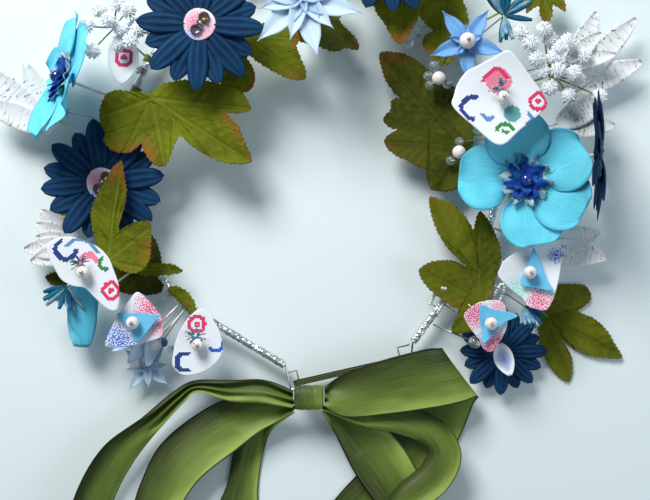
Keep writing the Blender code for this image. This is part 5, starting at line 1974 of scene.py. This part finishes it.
@dataclass
class Star:
    """A star of pointed satin petals, each folded along its middle."""

    node: str
    seat: Seat
    radius: float
    points: int
    finish: PetalCloth
    slot: str
    wide: float = 0.42  # a petal's width as a share of its length
    pearl: str | None = None
    layers: tuple[tuple[int, float], ...] = ((0, 1.0), (1, 0.72))

    def build(self, crown: Crown) -> None:
        """Makes the petals, the stem and the pearl.

        Args:
            crown: the crown that it goes on.
        """
        matrix = crown.ring.matrix(self.seat)
        patches = []
        for layer, share in self.layers:
            for i in range(self.points):
                roll, lift = crown.random.uniform(-1, 1, 2)

                def relief(s: np.ndarray, t: np.ndarray) -> np.ndarray:
                    """A fold along the middle, rising outwards and curling at the tip."""
                    return ((1.4 + 0.8 * lift) * s**2 + 2.2 * np.abs(t) * (1 - 0.7 * s) + 0.9 * layer) * MM

                made = petal(
                    self.radius * share * MM, self.radius * share * self.wide * MM,
                    lambda s: np.clip(1.25 * np.sin(np.pi * (s * 0.86 + 0.12)), 0, 1) * (1 - s**3),
                    relief, 16, 9, 0.4 * abs(roll),
                )
                angle = (i + 0.5 * layer) * 360 / self.points
                patches.append(made.moved(matrix @ turn_z(angle) @ turn("X", 6 * roll)))
        obj = piece(f"{self.node}_petals", patches, self.finish, 0.25 * MM)
        crown.seated(obj, self.node, self.slot, [self.node])
        crown.stem(self.node, matrix[:3, 3], TAPE, self.slot, 0.5)
        if self.pearl:
            build_pearl(crown, self.pearl, self.node)


STARS = (
    Star("star_top", Seat(93.0, -20.3, 42, spin=12), 27.0, 6, STAR_CLOTH, "pale_star", wide=0.4),
    Star("star_right", Seat(36.2, -1.9, 28, spin=20), 17.5, 5, BLUE_STAR_CLOTH, "blue_star", 0.44, "pearl_star",
         ((0, 1.0), (1, 0.45))),
    Star("pale_petals", Seat(231.5, 34.5, 6.5, spin=0), 13.0, 4, STAR_CLOTH, "pale_star"),
)


@dataclass
class PaperPetal:
    """A bunch of long paper petals with ruled print on them."""

    node: str
    seat: Seat
    length: float
    width: float
    blades: tuple[float, ...] = (-24.0, 0.0, 22.0)

    def build(self, crown: Crown) -> None:
        """Makes the blades and the stem.

        Args:
            crown: the crown that it goes on.
        """
        matrix = crown.ring.matrix(self.seat)
        patches = []
        for i, angle in enumerate(self.blades):
            made = petal(
                2 * self.length * (1 - 0.18 * abs(angle) / 24) * MM, 2 * self.width * MM,
                lambda s: np.clip(np.sin(np.pi * (0.9 * s + 0.08)), 0, 1) ** 0.7,
                lambda s, t: (0.7 * i + 1.2 * s**2 + 0.8 * t**2) * MM, 20, 9,
            )
            patches.append(made.moved(matrix @ shift(-self.length * MM) @ turn_z(angle)))
        obj = piece(f"{self.node}_blades", patches, PAPER, 0.2 * MM)
        crown.seated(obj, self.node, "paper", [self.node])
        crown.stem(self.node, matrix[:3, 3], SILVER, "wire", 0.4)


PAPER_PETALS = (
    PaperPetal("paper_petal_left", Seat(168.3, 48.2, 11, spin=-32), 20, 6),
    PaperPetal("paper_petal_right", Seat(19.9, 53.3, 9, spin=25), 24, 6),
)


@dataclass
class Bud:
    """The light blue bud: three long petals closed over one another."""

    node: str = "blue_bud"
    seat: Seat = Seat(213.4, 37.5, 13, spin=55)
    length: float = 17.0
    width: float = 9.0

    def build(self, crown: Crown) -> None:
        """Makes the petals and the stem.

        Args:
            crown: the crown that it goes on.
        """
        matrix = crown.ring.matrix(self.seat)
        patches = []
        for i, angle in enumerate((-9.0, 0.0, 10.0)):
            made = petal(
                2 * self.length * MM, 1.5 * self.width * MM,
                lambda s: np.sin(np.pi * np.clip(0.94 * s + 0.04, 0, 1)) ** 0.75,
                lambda s, t: (2.6 * (1 - t**2) * np.sin(np.pi * s) ** 0.6 + 0.9 * i) * MM, 22, 13, 0.3 * i,
            )
            patches.append(made.moved(matrix @ turn_z(angle) @ shift(-self.length * MM)))
        obj = piece(f"{self.node}_petals", patches, ORCHID_CLOTH, 0.3 * MM)
        crown.seated(obj, self.node, "orchid", [self.node])
        crown.stem(self.node, matrix[:3, 3], TAPE, "orchid", 0.5)


@dataclass
class Spray:
    """A spray of baby's breath: spiky white pompoms on fine green stalks."""

    node: str
    seat: Seat
    blossoms: tuple[tuple[float, float, float], ...]  # mm from the seat
    radius: float = 4.1
    spikes: int = 84

    def pompom(self, crown: Crown, place: np.ndarray) -> list[Patch]:
        """Narrow petals that stand out evenly over the upper two thirds of a ball.

        Args:
            crown: the crown that it goes on.
            place: its middle in metres.

        Returns:
            The petals.
        """
        patches = []
        golden = math.pi * (3 - math.sqrt(5))
        for i in range(self.spikes):
            rise = 1 - 1.45 * (i + 0.5) / self.spikes
            flat, angle = math.sqrt(max(0.0, 1 - rise * rise)), golden * i + crown.random.uniform(-0.2, 0.2)
            way = Vector((flat * math.cos(angle), flat * math.sin(angle), rise))
            facing = np.array(way.to_track_quat("X", "Z").to_matrix().to_4x4())
            made = petal(
                self.radius * crown.random.uniform(0.78, 1.02) * MM, 1.0 * MM,
                lambda s: 1.0 - 0.7 * s**2, lambda s, t: 0.15 * MM * t**2, 4, 3,
            )
            patches.append(made.moved(shift(*place) @ facing))
        return patches

    def build(self, crown: Crown) -> None:
        """Makes the pompoms, their stalks and the stem.

        Args:
            crown: the crown that it goes on.
        """
        matrix = crown.ring.matrix(self.seat)
        meeting = (matrix @ np.array([0, 0, -11 * MM, 1]))[:3]
        petals, stalks, cores = [], [], []
        for blossom in self.blossoms:
            place = (matrix @ np.array([*(np.array(blossom) * MM), 1]))[:3]
            petals += self.pompom(crown, place)
            cores.append(globe(0.6 * self.radius * MM, 14, 9).moved(shift(*place)))
            middle = (meeting + place) / 2 + crown.random.uniform(-1, 1, 3) * 0.8 * MM
            stalks.append(tube(smooth_route([meeting, middle, place], 6), 0.4 * MM, 6))
        obj = piece(f"{self.node}_pompoms", petals, BLOSSOM, 0.12 * MM)
        crown.seated(obj, self.node, "blossom", [self.node])
        crown.seated(piece(f"{self.node}_cores", cores, BLOSSOM, merge=True), self.node, "blossom")
        crown.seated(piece(f"{self.node}_stalks", stalks, STALK, merge=True), self.node, "leaf")
        crown.stem(self.node, meeting, STALK, "leaf")


SPRAYS = (
    Spray(
        "babys_breath_left", Seat(146.0, 20.0, 26),
        ((0, 0, 4), (-8, 6, -2), (8, 7, 0), (-9, -6, -4), (3, -9, -5), (0, 15, -2), (7.2, -1.6, 0),
         (-4.3, -8.6, 3), (-14.4, -7.3, 1), (-13, 2.4, 4), (-12.9, -3.7, 3), (-6, 0, 1)),
    ),
    Spray(
        "babys_breath_right", Seat(19.2, 28.3, 25),
        ((0, 0, 4), (-9.5, 21.5, 3), (0.3, 19.1, 4), (-7.4, 15.2, 5), (2.2, 14.6, 1), (-7.2, 7.7, 5),
         (1, 6.3, 2), (-5.2, -5.9, 2), (1.7, -12, 0), (7.1, -3.2, 1), (16, -16.6, -4),
         (10.3, 11.4, -2), (4.5, 9.1, 3), (9, -6, -3), (16, 3, -6), (-6.2, 2.1, 3)),
    ),
)


# ------------------------------------------------------------------ loose trimmings between the flowers

@dataclass
class LoosePearls:
    """Pearls and clear beads threaded on short wires between the flowers; places in mm from the origin."""

    pearls: tuple[tuple[float, float, float], ...] = (
        (57.5, 35.8, 22), (67.0, 2.8, 19), (-71.4, -84.9, 12), (-81.5, -92.5, 9),
    )
    clear: tuple[tuple[float, float, float], ...] = (
        (44.6, 52.7, 17), (48.7, 57.2, 17), (52.9, 37.0, 20), (55.6, 41.8, 20), (61.6, 33.4, 20),
        (53.6, 33.0, 20), (63.4, -0.8, 16), (67.5, 7.8, 16), (71.0, 0.2, 16), (-76.0, -89.0, 9),
        (-64.5, -87.5, 9),
    )

    def build(self, crown: Crown) -> None:
        """Makes the pearls, the beads and their wires.

        Args:
            crown: the crown that it goes on.
        """
        balls = [globe(3.1 * MM, 28, 18).moved(at(place)) for place in self.pearls]
        crown.seated(piece("loose_pearls", balls, PEARL, merge=True), "foil_wrap", "pearl")
        beads = [globe(2.2 * MM, 16, 11).moved(at(place)) for place in self.clear]
        crown.seated(piece("loose_clear_beads", beads, CLEAR, merge=True), "foil_wrap", "glass")
        blue = [globe(2.3 * MM, 18, 12).moved(shift(-68.0 * MM, -83.8 * MM, 10 * MM))]
        crown.seated(piece("loose_blue_bead", blue, BLUE_BEAD, merge=True), "foil_wrap", "pearl")
        for i, place in enumerate((*self.pearls, *self.clear)):
            crown.tie(f"loose_wire_{i}", "foil_wrap", np.array(place) * MM, SILVER, 0.25)


@dataclass
class BeadLoops:
    """Two loops of silver seed beads that stand beside the lower right flowers."""

    runs: tuple[tuple[tuple[float, float, float], ...], ...] = (
        ((78.7, -66.6, 9), (79.6, -60.5, 12), (82.4, -56.0, 13), (84.4, -58.5, 12), (82.4, -65.4, 9)),
        ((82.8, -66.0, 9), (84.9, -60.4, 12), (87.4, -56.8, 13), (88.6, -60.0, 12), (86.0, -66.6, 9)),
        ((55.0, -66.0, 9), (57.5, -60.4, 13), (61.0, -58.8, 14), (62.4, -63.0, 12), (58.2, -70.6, 9)),
    )

    def build(self, crown: Crown) -> None:
        """Makes the loops, a bead every 1.5 mm.

        Args:
            crown: the crown that it goes on.
        """
        beads = []
        for run in self.runs:
            route = smooth_route(np.array(run) * MM, 12)
            along = np.concatenate([[0], np.cumsum(np.linalg.norm(np.diff(route, axis=0), axis=1))])
            wanted = np.arange(0, along[-1], 1.5 * MM)
            places = np.stack([np.interp(wanted, along, route[:, k]) for k in range(3)], -1)
            beads += strewn(globe(0.9 * MM, 10, 7), places)
            crown.tie(f"loop_wire_{len(beads)}", "foil_wrap", route[0], SILVER, 0.3)
        crown.seated(piece("silver_bead_loops", beads, PALE_BEAD, merge=True), "foil_wrap", "foil")


@dataclass
class Tuft:
    """A tuft of curled printed scraps."""

    name: str
    place: tuple[float, float, float]  # mm
    facing: float  # degrees
    reach: float  # mm
    blades: int = 16
    fan_out: float = 150.0  # degrees that the blades spread over
    host: str = "foil_wrap"  # the node whose body carries it

    def build(self, crown: Crown) -> None:
        """Makes the blades in two cloths, and the wire.

        Args:
            crown: the crown that it goes on.
        """
        sets: tuple[list[Patch], list[Patch]] = ([], [])
        for i in range(self.blades):
            angle = self.facing + crown.random.uniform(-0.5, 0.5) * self.fan_out
            length = self.reach * crown.random.uniform(0.6, 1.0) * MM
            curl = crown.random.uniform(1.0, 3.0)
            made = petal(
                length, 2.6 * MM, lambda s: 0.4 + 0.6 * np.sin(np.pi * np.clip(s, 0, 0.96)),
                lambda s, t: (curl * s**2 - 0.8 * t**2) * MM, 9, 5, crown.random.uniform(0, 0.8),
            )
            lean = turn("Y", -crown.random.uniform(-6, 22))
            spot = at(self.place) @ turn_z(angle) @ lean
            sets[i % 2].append(made.moved(spot))
        for label, patches, cloth in (("teal", sets[0], TUFT_CLOTH), ("lace", sets[1], FRINGE_CLOTH)):
            crown.seated(piece(f"{self.name}_{label}", patches, cloth, 0.2 * MM), self.host, "rosette")
        crown.tie(f"{self.name}_wire", self.host, np.array(self.place) * MM, SILVER)


TUFTS = (
    Tuft("tuft_left", (-111.0, -58.0, 18.0), 250.0, 13.0, host="blue_bud"),
    Tuft("tuft_right", (97.0, -67.0, 17.0), 300.0, 11.0, 14, 80.0, "print_petal_right"),
    Tuft("tuft_top_right", (87.0, 64.0, 22.0), 20.0, 14.0, 18, 240.0),
)


@dataclass
class LooseScrap:
    """A printed or ruled scrap with no solid of its own, laid low between the flowers."""

    name: str
    place: tuple[float, float, float]  # mm
    facing: float  # degrees
    length: float
    width: float
    finish: Finish
    blades: tuple[float, ...] = (0.0,)
    slot: str = "paper"

    def build(self, crown: Crown) -> None:
        """Makes the scrap and its wire.

        Args:
            crown: the crown that it goes on.
        """
        patches = []
        for i, angle in enumerate(self.blades):
            made = petal(
                self.length * (1 - 0.1 * (i % 3)) * MM, self.width * MM,
                lambda s: np.clip(np.sin(np.pi * (0.88 * s + 0.1)), 0, 1) ** 0.75,
                lambda s, t: (0.5 * i + 1.5 * s**2 + 0.9 * t**2 + 0.4 * np.sin(9 * s + i)) * MM, 18, 9, 0.2,
            )
            spot = at(self.place) @ turn_z(self.facing + angle)
            patches.append(made.moved(spot))
        crown.seated(piece(self.name, patches, self.finish, 0.2 * MM), "foil_wrap", self.slot)
        crown.tie(f"{self.name}_wire", "foil_wrap", np.array(self.place) * MM, SILVER)


BLUE_DOTTED = printed("scrap_blue_dots", dots=(Dots(0, 0, 40, DOT_BLUE),))
SCRAPS = (
    LooseScrap("scrap_upper_right", (116.0, 44.0, 17.0), 28.0, 22, 8, PAPER, (-20, 12)),
    LooseScrap("scrap_mid_right", (112.0, 16.0, 15.0), 12.0, 26, 12, PAPER, (-14, 14)),
    LooseScrap("scrap_lower_right", (106.0, -40.0, 10.0), 2.0, 30, 12, PAPER, (-12, 12)),
    LooseScrap("scrap_frilly_left", (-108.0, -40.0, 7.0), 172.0, 24, 11, PAPER, (-38, -22, -6, 10, 26)),
    LooseScrap("scrap_pale_left", (-112.0, 22.0, 8.0), 172.0, 30, 8, STAR_CLOTH, (0,), "pale_star"),
    LooseScrap("scrap_blue_dots_right", (85.0, -84.0, 17.0), -70.0, 15, 9, BLUE_DOTTED, (0,), "print_fabric"),
    LooseScrap(
        "scrap_pale_lower_left", (-70.0, -76.0, 12.0), 250.0, 24, 7, STAR_CLOTH, (-42, -18, 6), "pale_star"
    ),
)


# ------------------------------------------------------------------ the ring and its small metal parts

@dataclass
class RingWrap:
    """Foil tape wound round the ring wire, crumpled, with the edge of each turn standing a little."""

    turns: int = 150  # of tape, end to end
    sides: int = 20
    steps: int = 1400

    def build(self, crown: Crown) -> None:
        """Makes the wrap over its whole length, and gives the wire its metal.

        Args:
            crown: the crown that it goes on.
        """
        ring = crown.ring
        right, left = ring.ends()
        route = ring.point(np.linspace(right + 0.4, left - 0.4, self.steps))
        round_it = np.linspace(0, 1, self.sides, endpoint=False)
        s, t = np.meshgrid(np.linspace(0, 1, self.steps), round_it, indexing="ij")
        lap = (s * self.turns + t) % 1.0
        rough = crown.random.normal(0, 1, (self.steps, self.sides))
        rough = (rough + np.roll(rough, 1, 0) + np.roll(rough, 1, 1) + np.roll(rough, (1, 1), (0, 1))) / 4
        radius = ring.foil * (0.9 + 0.16 * lap**2) + 0.14 * MM * rough
        obj = piece("ring_foil_tape", [tube(route, radius, self.sides)], FOIL, merge=True)
        crown.seated(obj, "foil_wrap", "foil", ["foil_wrap"])
        crown.frame["nodes"]["ring_wire"].data.materials.clear()
        crown.frame["nodes"]["ring_wire"].data.materials.append(SILVER.material())


@dataclass
class BeadPin:
    """The straight pin beside the ring's right end with its sliding glass bead."""

    def build(self, crown: Crown) -> None:
        """Makes the pin, its knob and the bead.

        Args:
            crown: the crown that it goes on.
        """
        low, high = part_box("glass_bead")
        middle, radius = np.array((low + high) / 2), (high.z - low.z) / 2
        foot = crown.foot("bead_pin")
        way = (middle - foot) / np.linalg.norm(middle - foot)
        end = middle + way * (radius + 1.4 * MM)
        knob = globe(1.1 * MM, 14, 9).moved(shift(*end))
        pin = tube(np.stack([foot + way * 2.2 * MM, (foot + end) / 2, end]), 0.45 * MM, 8)
        crown.seated(piece("bead_pin_rod", [pin, knob], SILVER, merge=True), "bead_pin", "wire", ["bead_pin"])
        facing = np.array(Vector(way).to_track_quat("Z", "Y").to_matrix().to_4x4())
        profile = bored(radius, 0.8 * MM, 16)
        profile = np.concatenate([profile, profile[:1]])
        ball = turned(profile, 12).moved(shift(*middle) @ facing)
        crown.seated(piece("glass_bead_ball", [ball], CLEAR, merge=True), "glass_bead", "glass", ["glass_bead"])


# ------------------------------------------------------------------ the bow

LEFT_LOOP = (
    (-7.2, -0.5, 15.5, 90, 0, 0.30), (-21, 3, 15.5, 84, 12, 0.42), (-35.5, 3.3, 15, 88, 15, 0.38),
    (-51, 5.6, 14.5, 104, 20, 0.20), (-60, 0, 13, 130, 25, 0.27), (-72.5, -12, 12, 142, 30, 0.40),
    (-87, -26, 11, 147, 32, 0.65), (-97, -43, 11, 160, 38, 0.75), (-101, -60, 13, 178, 55, 0.90),
    (-96, -74, 14, 225, 70, 0.95), (-84, -77, 13, 285, 60, 0.95), (-76, -64, 9, 318, 35, 0.92),
    (-69.8, -48, 7.5, 323, 24, 0.90), (-60, -31, 7, 323, 20, 0.95), (-43, -17, 7, 322, 15, 0.95),
    (-27, -7.5, 8.5, 312, 12, 0.75), (-7.2, -3.2, 12.5, 275, 0, 0.28),
)
RIGHT_LOOP = (
    (7.2, -2.6, 13.5, 85, 0, 0.25), (24, -8, 12, 92, 10, 0.40), (42, -10.5, 11.5, 80, 22, 0.55),
    (56, -16, 12, 48, 28, 0.60), (62, -26, 12.5, 2, 30, 0.62), (57, -37, 12.5, -42, 30, 0.62),
    (46, -46, 13, -50, 35, 0.60), (41, -54, 14, -5, 60, 0.70), (46, -62, 13, 90, 62, 0.75),
    (52, -57, 9, 165, 40, 0.80), (44, -48, 5.2, 208, 6, 0.88), (33, -31, 4.8, 208, 4, 0.95),
    (25, -20, 5.2, 212, 4, 0.80), (16, -11, 8, 222, 0, 0.50), (7.2, -3.6, 11, 250, 0, 0.25),
)
TAIL_RIGHT = (
    (7.2, 0.8, 16.5, 90, 0, 0.33), (17, 1.5, 17, 92, 6, 0.75), (35, 5.2, 17.5, 98, 6, 0.93),
    (53, 8.8, 18, 102, 3, 1.00), (64, 10.5, 16, 115, 0, 1.00), (69.5, 10.5, 10, 128, 0, 1.00),
    (66, 3.5, 3.2, 140, 0, 1.00), (57, -16.5, 1.5, 150, 0, 1.00), (41, -37, 1.0, 148, 0, 1.00),
    (24, -56, 0.8, 145, 0, 1.00), (14, -70, 0.8, 145, 0, 1.00),
)
TAIL_LEFT = (
    (-7.2, -4.2, 10.5, -75, 0, 0.22), (-21.5, -13, 3.6, -35, 0, 0.40), (-28, -26, 1.6, -12, 0, 0.50),
    (-31.4, -44, 1.2, -5, 0, 0.55), (-35, -62, 1.0, -8, 0, 0.90), (-39, -76, 0.8, -12, 0, 1.00),
)


class Held(Enum):
    """How a stretch of ribbon is held."""

    FOLDED = "folded"
    LAID = "laid"


@dataclass
class RibbonRun:
    """One strip of ribbon through its stations: x, y from the knot, height, heading, tilt and gather."""

    node: str
    stations: tuple[tuple[float, ...], ...]
    held: Held
    width: float = 27.0
    columns: int = 33
    steps: int = 12

    def section(self, gather: np.ndarray, t: np.ndarray) -> np.ndarray:
        """Height of the cloth over its cross-line, so that a gathered stretch keeps its width.

        A stretch drawn in to a share g of the width waves with amplitude W / (n pi) sqrt(2 (0.8 - g g)): n is
        5 close to the knot, where it is pleated, and 2 where it only rolls over.

        Args:
            gather: the share of the width spread at each row.
            t: the place across, from -0.5 to 0.5.

        Returns:
            Heights in mm, one for each point of the grid.
        """
        spare = np.sqrt(np.clip(0.8 - gather**2, 0, 1))[:, None]
        pleated = np.clip((0.5 - gather) / 0.2, 0, 1)[:, None]
        pleated = pleated * pleated * (3 - 2 * pleated)
        close = self.width * math.sqrt(2) / (5 * math.pi) * spare * pleated
        rolled = self.width * math.sqrt(2) / (2 * math.pi) * spare * (1 - pleated) * 0.45
        across = t[None, :] + 0.5
        return close * np.sin(5 * np.pi * across) + rolled * np.sin(2 * np.pi * across)

    def build(self, crown: Crown, knot: np.ndarray) -> None:
        """Makes the strip.

        Args:
            crown: the crown.
            knot: the knot's middle in metres.
        """
        rows = smooth_route(self.stations, self.steps)
        middle = rows[:, :3] * MM + np.array([knot[0], knot[1], 0.0])
        heading, tilt, gather = np.radians(rows[:, 3]), np.radians(rows[:, 4]), rows[:, 5]
        across = np.stack([np.cos(heading) * np.cos(tilt), np.sin(heading) * np.cos(tilt), np.sin(tilt)], -1)
        tangent = np.gradient(middle, axis=0)
        tangent /= np.linalg.norm(tangent, axis=1, keepdims=True)
        normal = np.cross(tangent, across)
        normal /= np.linalg.norm(normal, axis=1, keepdims=True)
        normal *= np.where(normal[:, 2:] < -0.2, -1.0, 1.0)
        t = np.linspace(-0.5, 0.5, self.columns)
        spread = self.width * MM * gather
        points = middle[:, None] + across[:, None] * (spread[:, None] * t)[..., None]
        points = points + normal[:, None] * (self.section(gather, t) * MM)[..., None]
        points[..., 2] = np.maximum(points[..., 2], 0.35 * MM)
        run = np.concatenate([[0], np.cumsum(np.linalg.norm(np.diff(middle, axis=0), axis=1))])
        facing = across[:, 0] - across[:, 1]  # how far the far edge lies towards +X and -Y, the side painted in light
        sign = np.clip(facing / 0.35, -1, 1)[:, None]
        # Painted light across the strip: lighter on its side towards +X and -Y, painted shade on the other.
        marks = {
            "edge": np.broadcast_to(np.abs(2 * t), points.shape[:2]),
            "lit": np.clip(0.5 + sign * t[None, :], 0, 1),
        }
        uv = np.stack(np.broadcast_arrays(run[:, None] / (self.width * MM) * 0.2, (t + 0.5)[None, :]), -1)
        obj = piece(f"{self.node}_satin", [Patch(points, uv, marks)], RIBBON, 0.25 * MM)
        crown.seated(obj, self.node, "ribbon", [self.node])


@dataclass
class Bow:
    """The satin bow: two loops, two tails, the knot and the belt of ribbon behind it."""

    runs: tuple[RibbonRun, ...] = (
        RibbonRun("bow_loop_left", LEFT_LOOP, Held.FOLDED),
        RibbonRun("bow_loop_right", RIGHT_LOOP, Held.FOLDED),
        RibbonRun("tail_right", TAIL_RIGHT, Held.FOLDED),
        RibbonRun("tail_left", TAIL_LEFT, Held.LAID),
    )

    def build(self, crown: Crown) -> None:
        """Makes every part of the bow.

        Args:
            crown: the crown that it goes on.
        """
        low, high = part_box("bow_knot")
        knot = np.array((low + high) / 2)
        half = np.array((high - low) / 2)
        for run in self.runs:
            run.build(crown, knot)
        self.build_knot(crown, knot, half)
        self.build_belt(crown)

    def build_knot(self, crown: Crown, knot: np.ndarray, half: np.ndarray) -> None:
        """A roll of ribbon round the X axis: fuller in the middle, with creases that run round it.

        Args:
            crown: the crown that it goes on.
            knot: the knot's middle in metres.
            half: half the knot's size in metres.
        """
        rows, columns = 26, 64
        round_it = np.linspace(0, 2 * np.pi, columns, endpoint=False)
        s, t = np.meshgrid(np.linspace(-1, 1, rows), round_it, indexing="ij")
        full = 0.86 + 0.14 * np.sqrt(np.clip(1 - s**2, 0, 1))
        crease = 1 - 0.05 * np.exp(-((s - 0.25 - 0.1 * np.sin(t)) / 0.1) ** 2)
        crease -= 0.04 * np.exp(-((s + 0.4 + 0.15 * np.cos(t)) / 0.12) ** 2)
        power = 0.75
        y = half[1] * np.sign(np.cos(t)) * np.abs(np.cos(t)) ** power * full * crease
        z = half[2] * np.sign(np.sin(t)) * np.abs(np.sin(t)) ** power * full * crease
        points = np.stack([knot[0] + s * half[0], knot[1] + y, knot[2] + z], -1)
        inner = np.stack([points[..., 0], knot[1] + 0.55 * y, knot[2] + 0.55 * z], -1)
        points = np.concatenate([inner[:1], points, inner[-1:]])
        s = np.concatenate([s[:1], s, s[-1:]])
        uv = np.stack([np.broadcast_to(t[:1] / 6.0, s.shape), (s + 1) / 2], -1)
        # Painted light round the knot: lighter towards +X and on its -Y side; both rims take the dark edge
        # colour of the shaded side.
        lit = np.clip(0.5 + 0.3 * s - 0.2 * np.cos(t[:1]), 0, 1)
        marks = {"edge": np.where(np.abs(s) > 0.97, 1.0, np.abs(s) * 0.9), "lit": np.where(s > 0.97, 0.2, lit)}
        obj = piece("bow_knot_wrap", [Patch(points, uv, marks, wrap=True)], RIBBON, 0.3 * MM)
        crown.seated(obj, "bow_knot", "ribbon", ["bow_knot"])

    def build_belt(self, crown: Crown) -> None:
        """The ribbon tied through both end loops: a flat belt with soft pleats along it.

        Args:
            crown: the crown that it goes on.
        """
        points = crown.vertices("tie_band")
        middle = (points.min(0) + points.max(0)) / 2
        flat = points[:, :2] - middle[:2]
        way = np.linalg.svd(flat, full_matrices=False)[2][0]
        way = np.array([*(way * np.sign(way[0])), 0.0])
        side = np.array([-way[1], way[0], 0.0])
        length = np.ptp(points @ way)
        width = np.ptp(points @ side)
        height = np.ptp(points[:, 2])
        turn_by = np.linspace(0, 2 * np.pi, 120, endpoint=False)
        straight, cap = length / 2 - height / 2, height / 2
        x = np.clip(np.cos(turn_by) * 40, -1, 1) * straight + cap * np.cos(turn_by)
        z = cap * np.sin(turn_by)
        t = np.linspace(-0.5, 0.5, 15)
        pleat = 0.18 * MM * np.cos(t * 20)[None, :] * np.sign(z)[:, None]
        lean = (t * 0.4 - 0.3) * width
        grid = middle + x[:, None, None] * way + lean[None, :, None] * side
        grid = grid + (z[:, None] + pleat)[..., None] * np.array([0, 0, 1.0])
        # Painted shade over most of the belt, a little less towards one edge; both edges take the dark edge
        # colour of the shaded side.
        marks = {
            "edge": np.broadcast_to(np.abs(2 * t), grid.shape[:2]),
            "lit": np.broadcast_to(0.15 - t * 0.3, grid.shape[:2]),
        }
        uv = np.stack(np.broadcast_arrays(np.linspace(0, 1, len(turn_by))[:, None], (t + 0.5)[None, :]), -1)
        grid = np.concatenate([grid, grid[:1]])
        marks = {key: np.concatenate([value, value[:1]]) for key, value in marks.items()}
        uv = np.concatenate([uv, uv[:1]])
        obj = piece("tie_band_satin", [Patch(grid, uv, marks)], RIBBON, 0.3 * MM, merge=True)
        crown.seated(obj, "tie_band", "ribbon", ["tie_band"])


# ------------------------------------------------------------------ room, light and camera

@dataclass
class Room:
    """A pale floor, soft light from the upper left, and a camera straight overhead."""

    eye: tuple[float, float, float] = (6.44, -41.4, 510.0)  # mm
    lens: float = 60.2
    floor: Colour = (226, 240, 244)

    def build(self) -> None:
        """Makes the floor, the lights, the surroundings and the camera."""
        s, t = unit_grid(2, 2)
        points = np.stack([(s * 2 - 1) * 3.0, t * 3.0, 0 * s - 0.0001], -1)
        floor = piece("floor", [Patch(points)], Gloss("floor_pale", self.floor, self.floor, 0.6))
        floor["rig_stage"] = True
        self.lamp("key", (-0.34, 0.66, 0.66), 0.42, 12.2, (255, 252, 248))
        self.lamp("fill", (0.85, -0.2, 0.7), 0.6, 2.4, (240, 247, 255))
        world = bpy.data.worlds.new("surroundings")
        world.use_nodes = True
        background = world.node_tree.nodes["Background"]
        background.inputs["Color"].default_value = linear((226, 240, 250))
        background.inputs["Strength"].default_value = 0.24
        bpy.context.scene.world = world
        bpy.context.scene.view_settings.view_transform = "Standard"
        camera = bpy.data.objects.new("camera", bpy.data.cameras.new("camera"))
        bpy.context.scene.collection.objects.link(camera)
        camera.location = [v * MM for v in self.eye]
        camera.data.lens = self.lens
        camera.data.clip_start = 0.01
        bpy.context.scene.camera = camera

    def lamp(
        self, name: str, place: tuple[float, float, float], size: float, power: float, colour: Colour
    ) -> None:
        """A square soft light that faces the crown.

        Args:
            name: the light's name.
            place: where it is, in metres.
            size: its side in metres.
            power: watts.
            colour: its colour as sRGB.
        """
        data = bpy.data.lights.new(name, "AREA")
        data.size = size
        data.energy = power
        data.color = linear(colour)[:3]
        lamp = bpy.data.objects.new(name, data)
        lamp.location = place
        lamp.rotation_euler = (-Vector(place)).to_track_quat("-Z", "Y").to_euler()
        bpy.context.scene.collection.objects.link(lamp)


def corners(bounds: tuple[Vector, Vector]) -> list[list[float]]:
    """A box's two corners as plain lists."""
    return [list(corner) for corner in bounds]


def main() -> None:
    """Builds the whole crown and its room."""
    logging.basicConfig(level=logging.INFO, format="%(message)s")
    crown = Crown(frame)
    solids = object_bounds()
    Room().build()
    RingWrap().build(crown)
    flowers = (*LEAVES, *DAISIES, *ORCHIDS, *PRINT_PETALS, *STARS, *PAPER_PETALS, Bud(), *SPRAYS)
    trimmings = (LoosePearls(), BeadLoops(), *TUFTS, *SCRAPS, BeadPin(), Bow())
    parts = (*flowers, *trimmings)
    for part in parts:
        part.build(crown)
    {"cad": corners(solids), "visual": corners(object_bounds())}


if __name__ == "__main__":
    main()
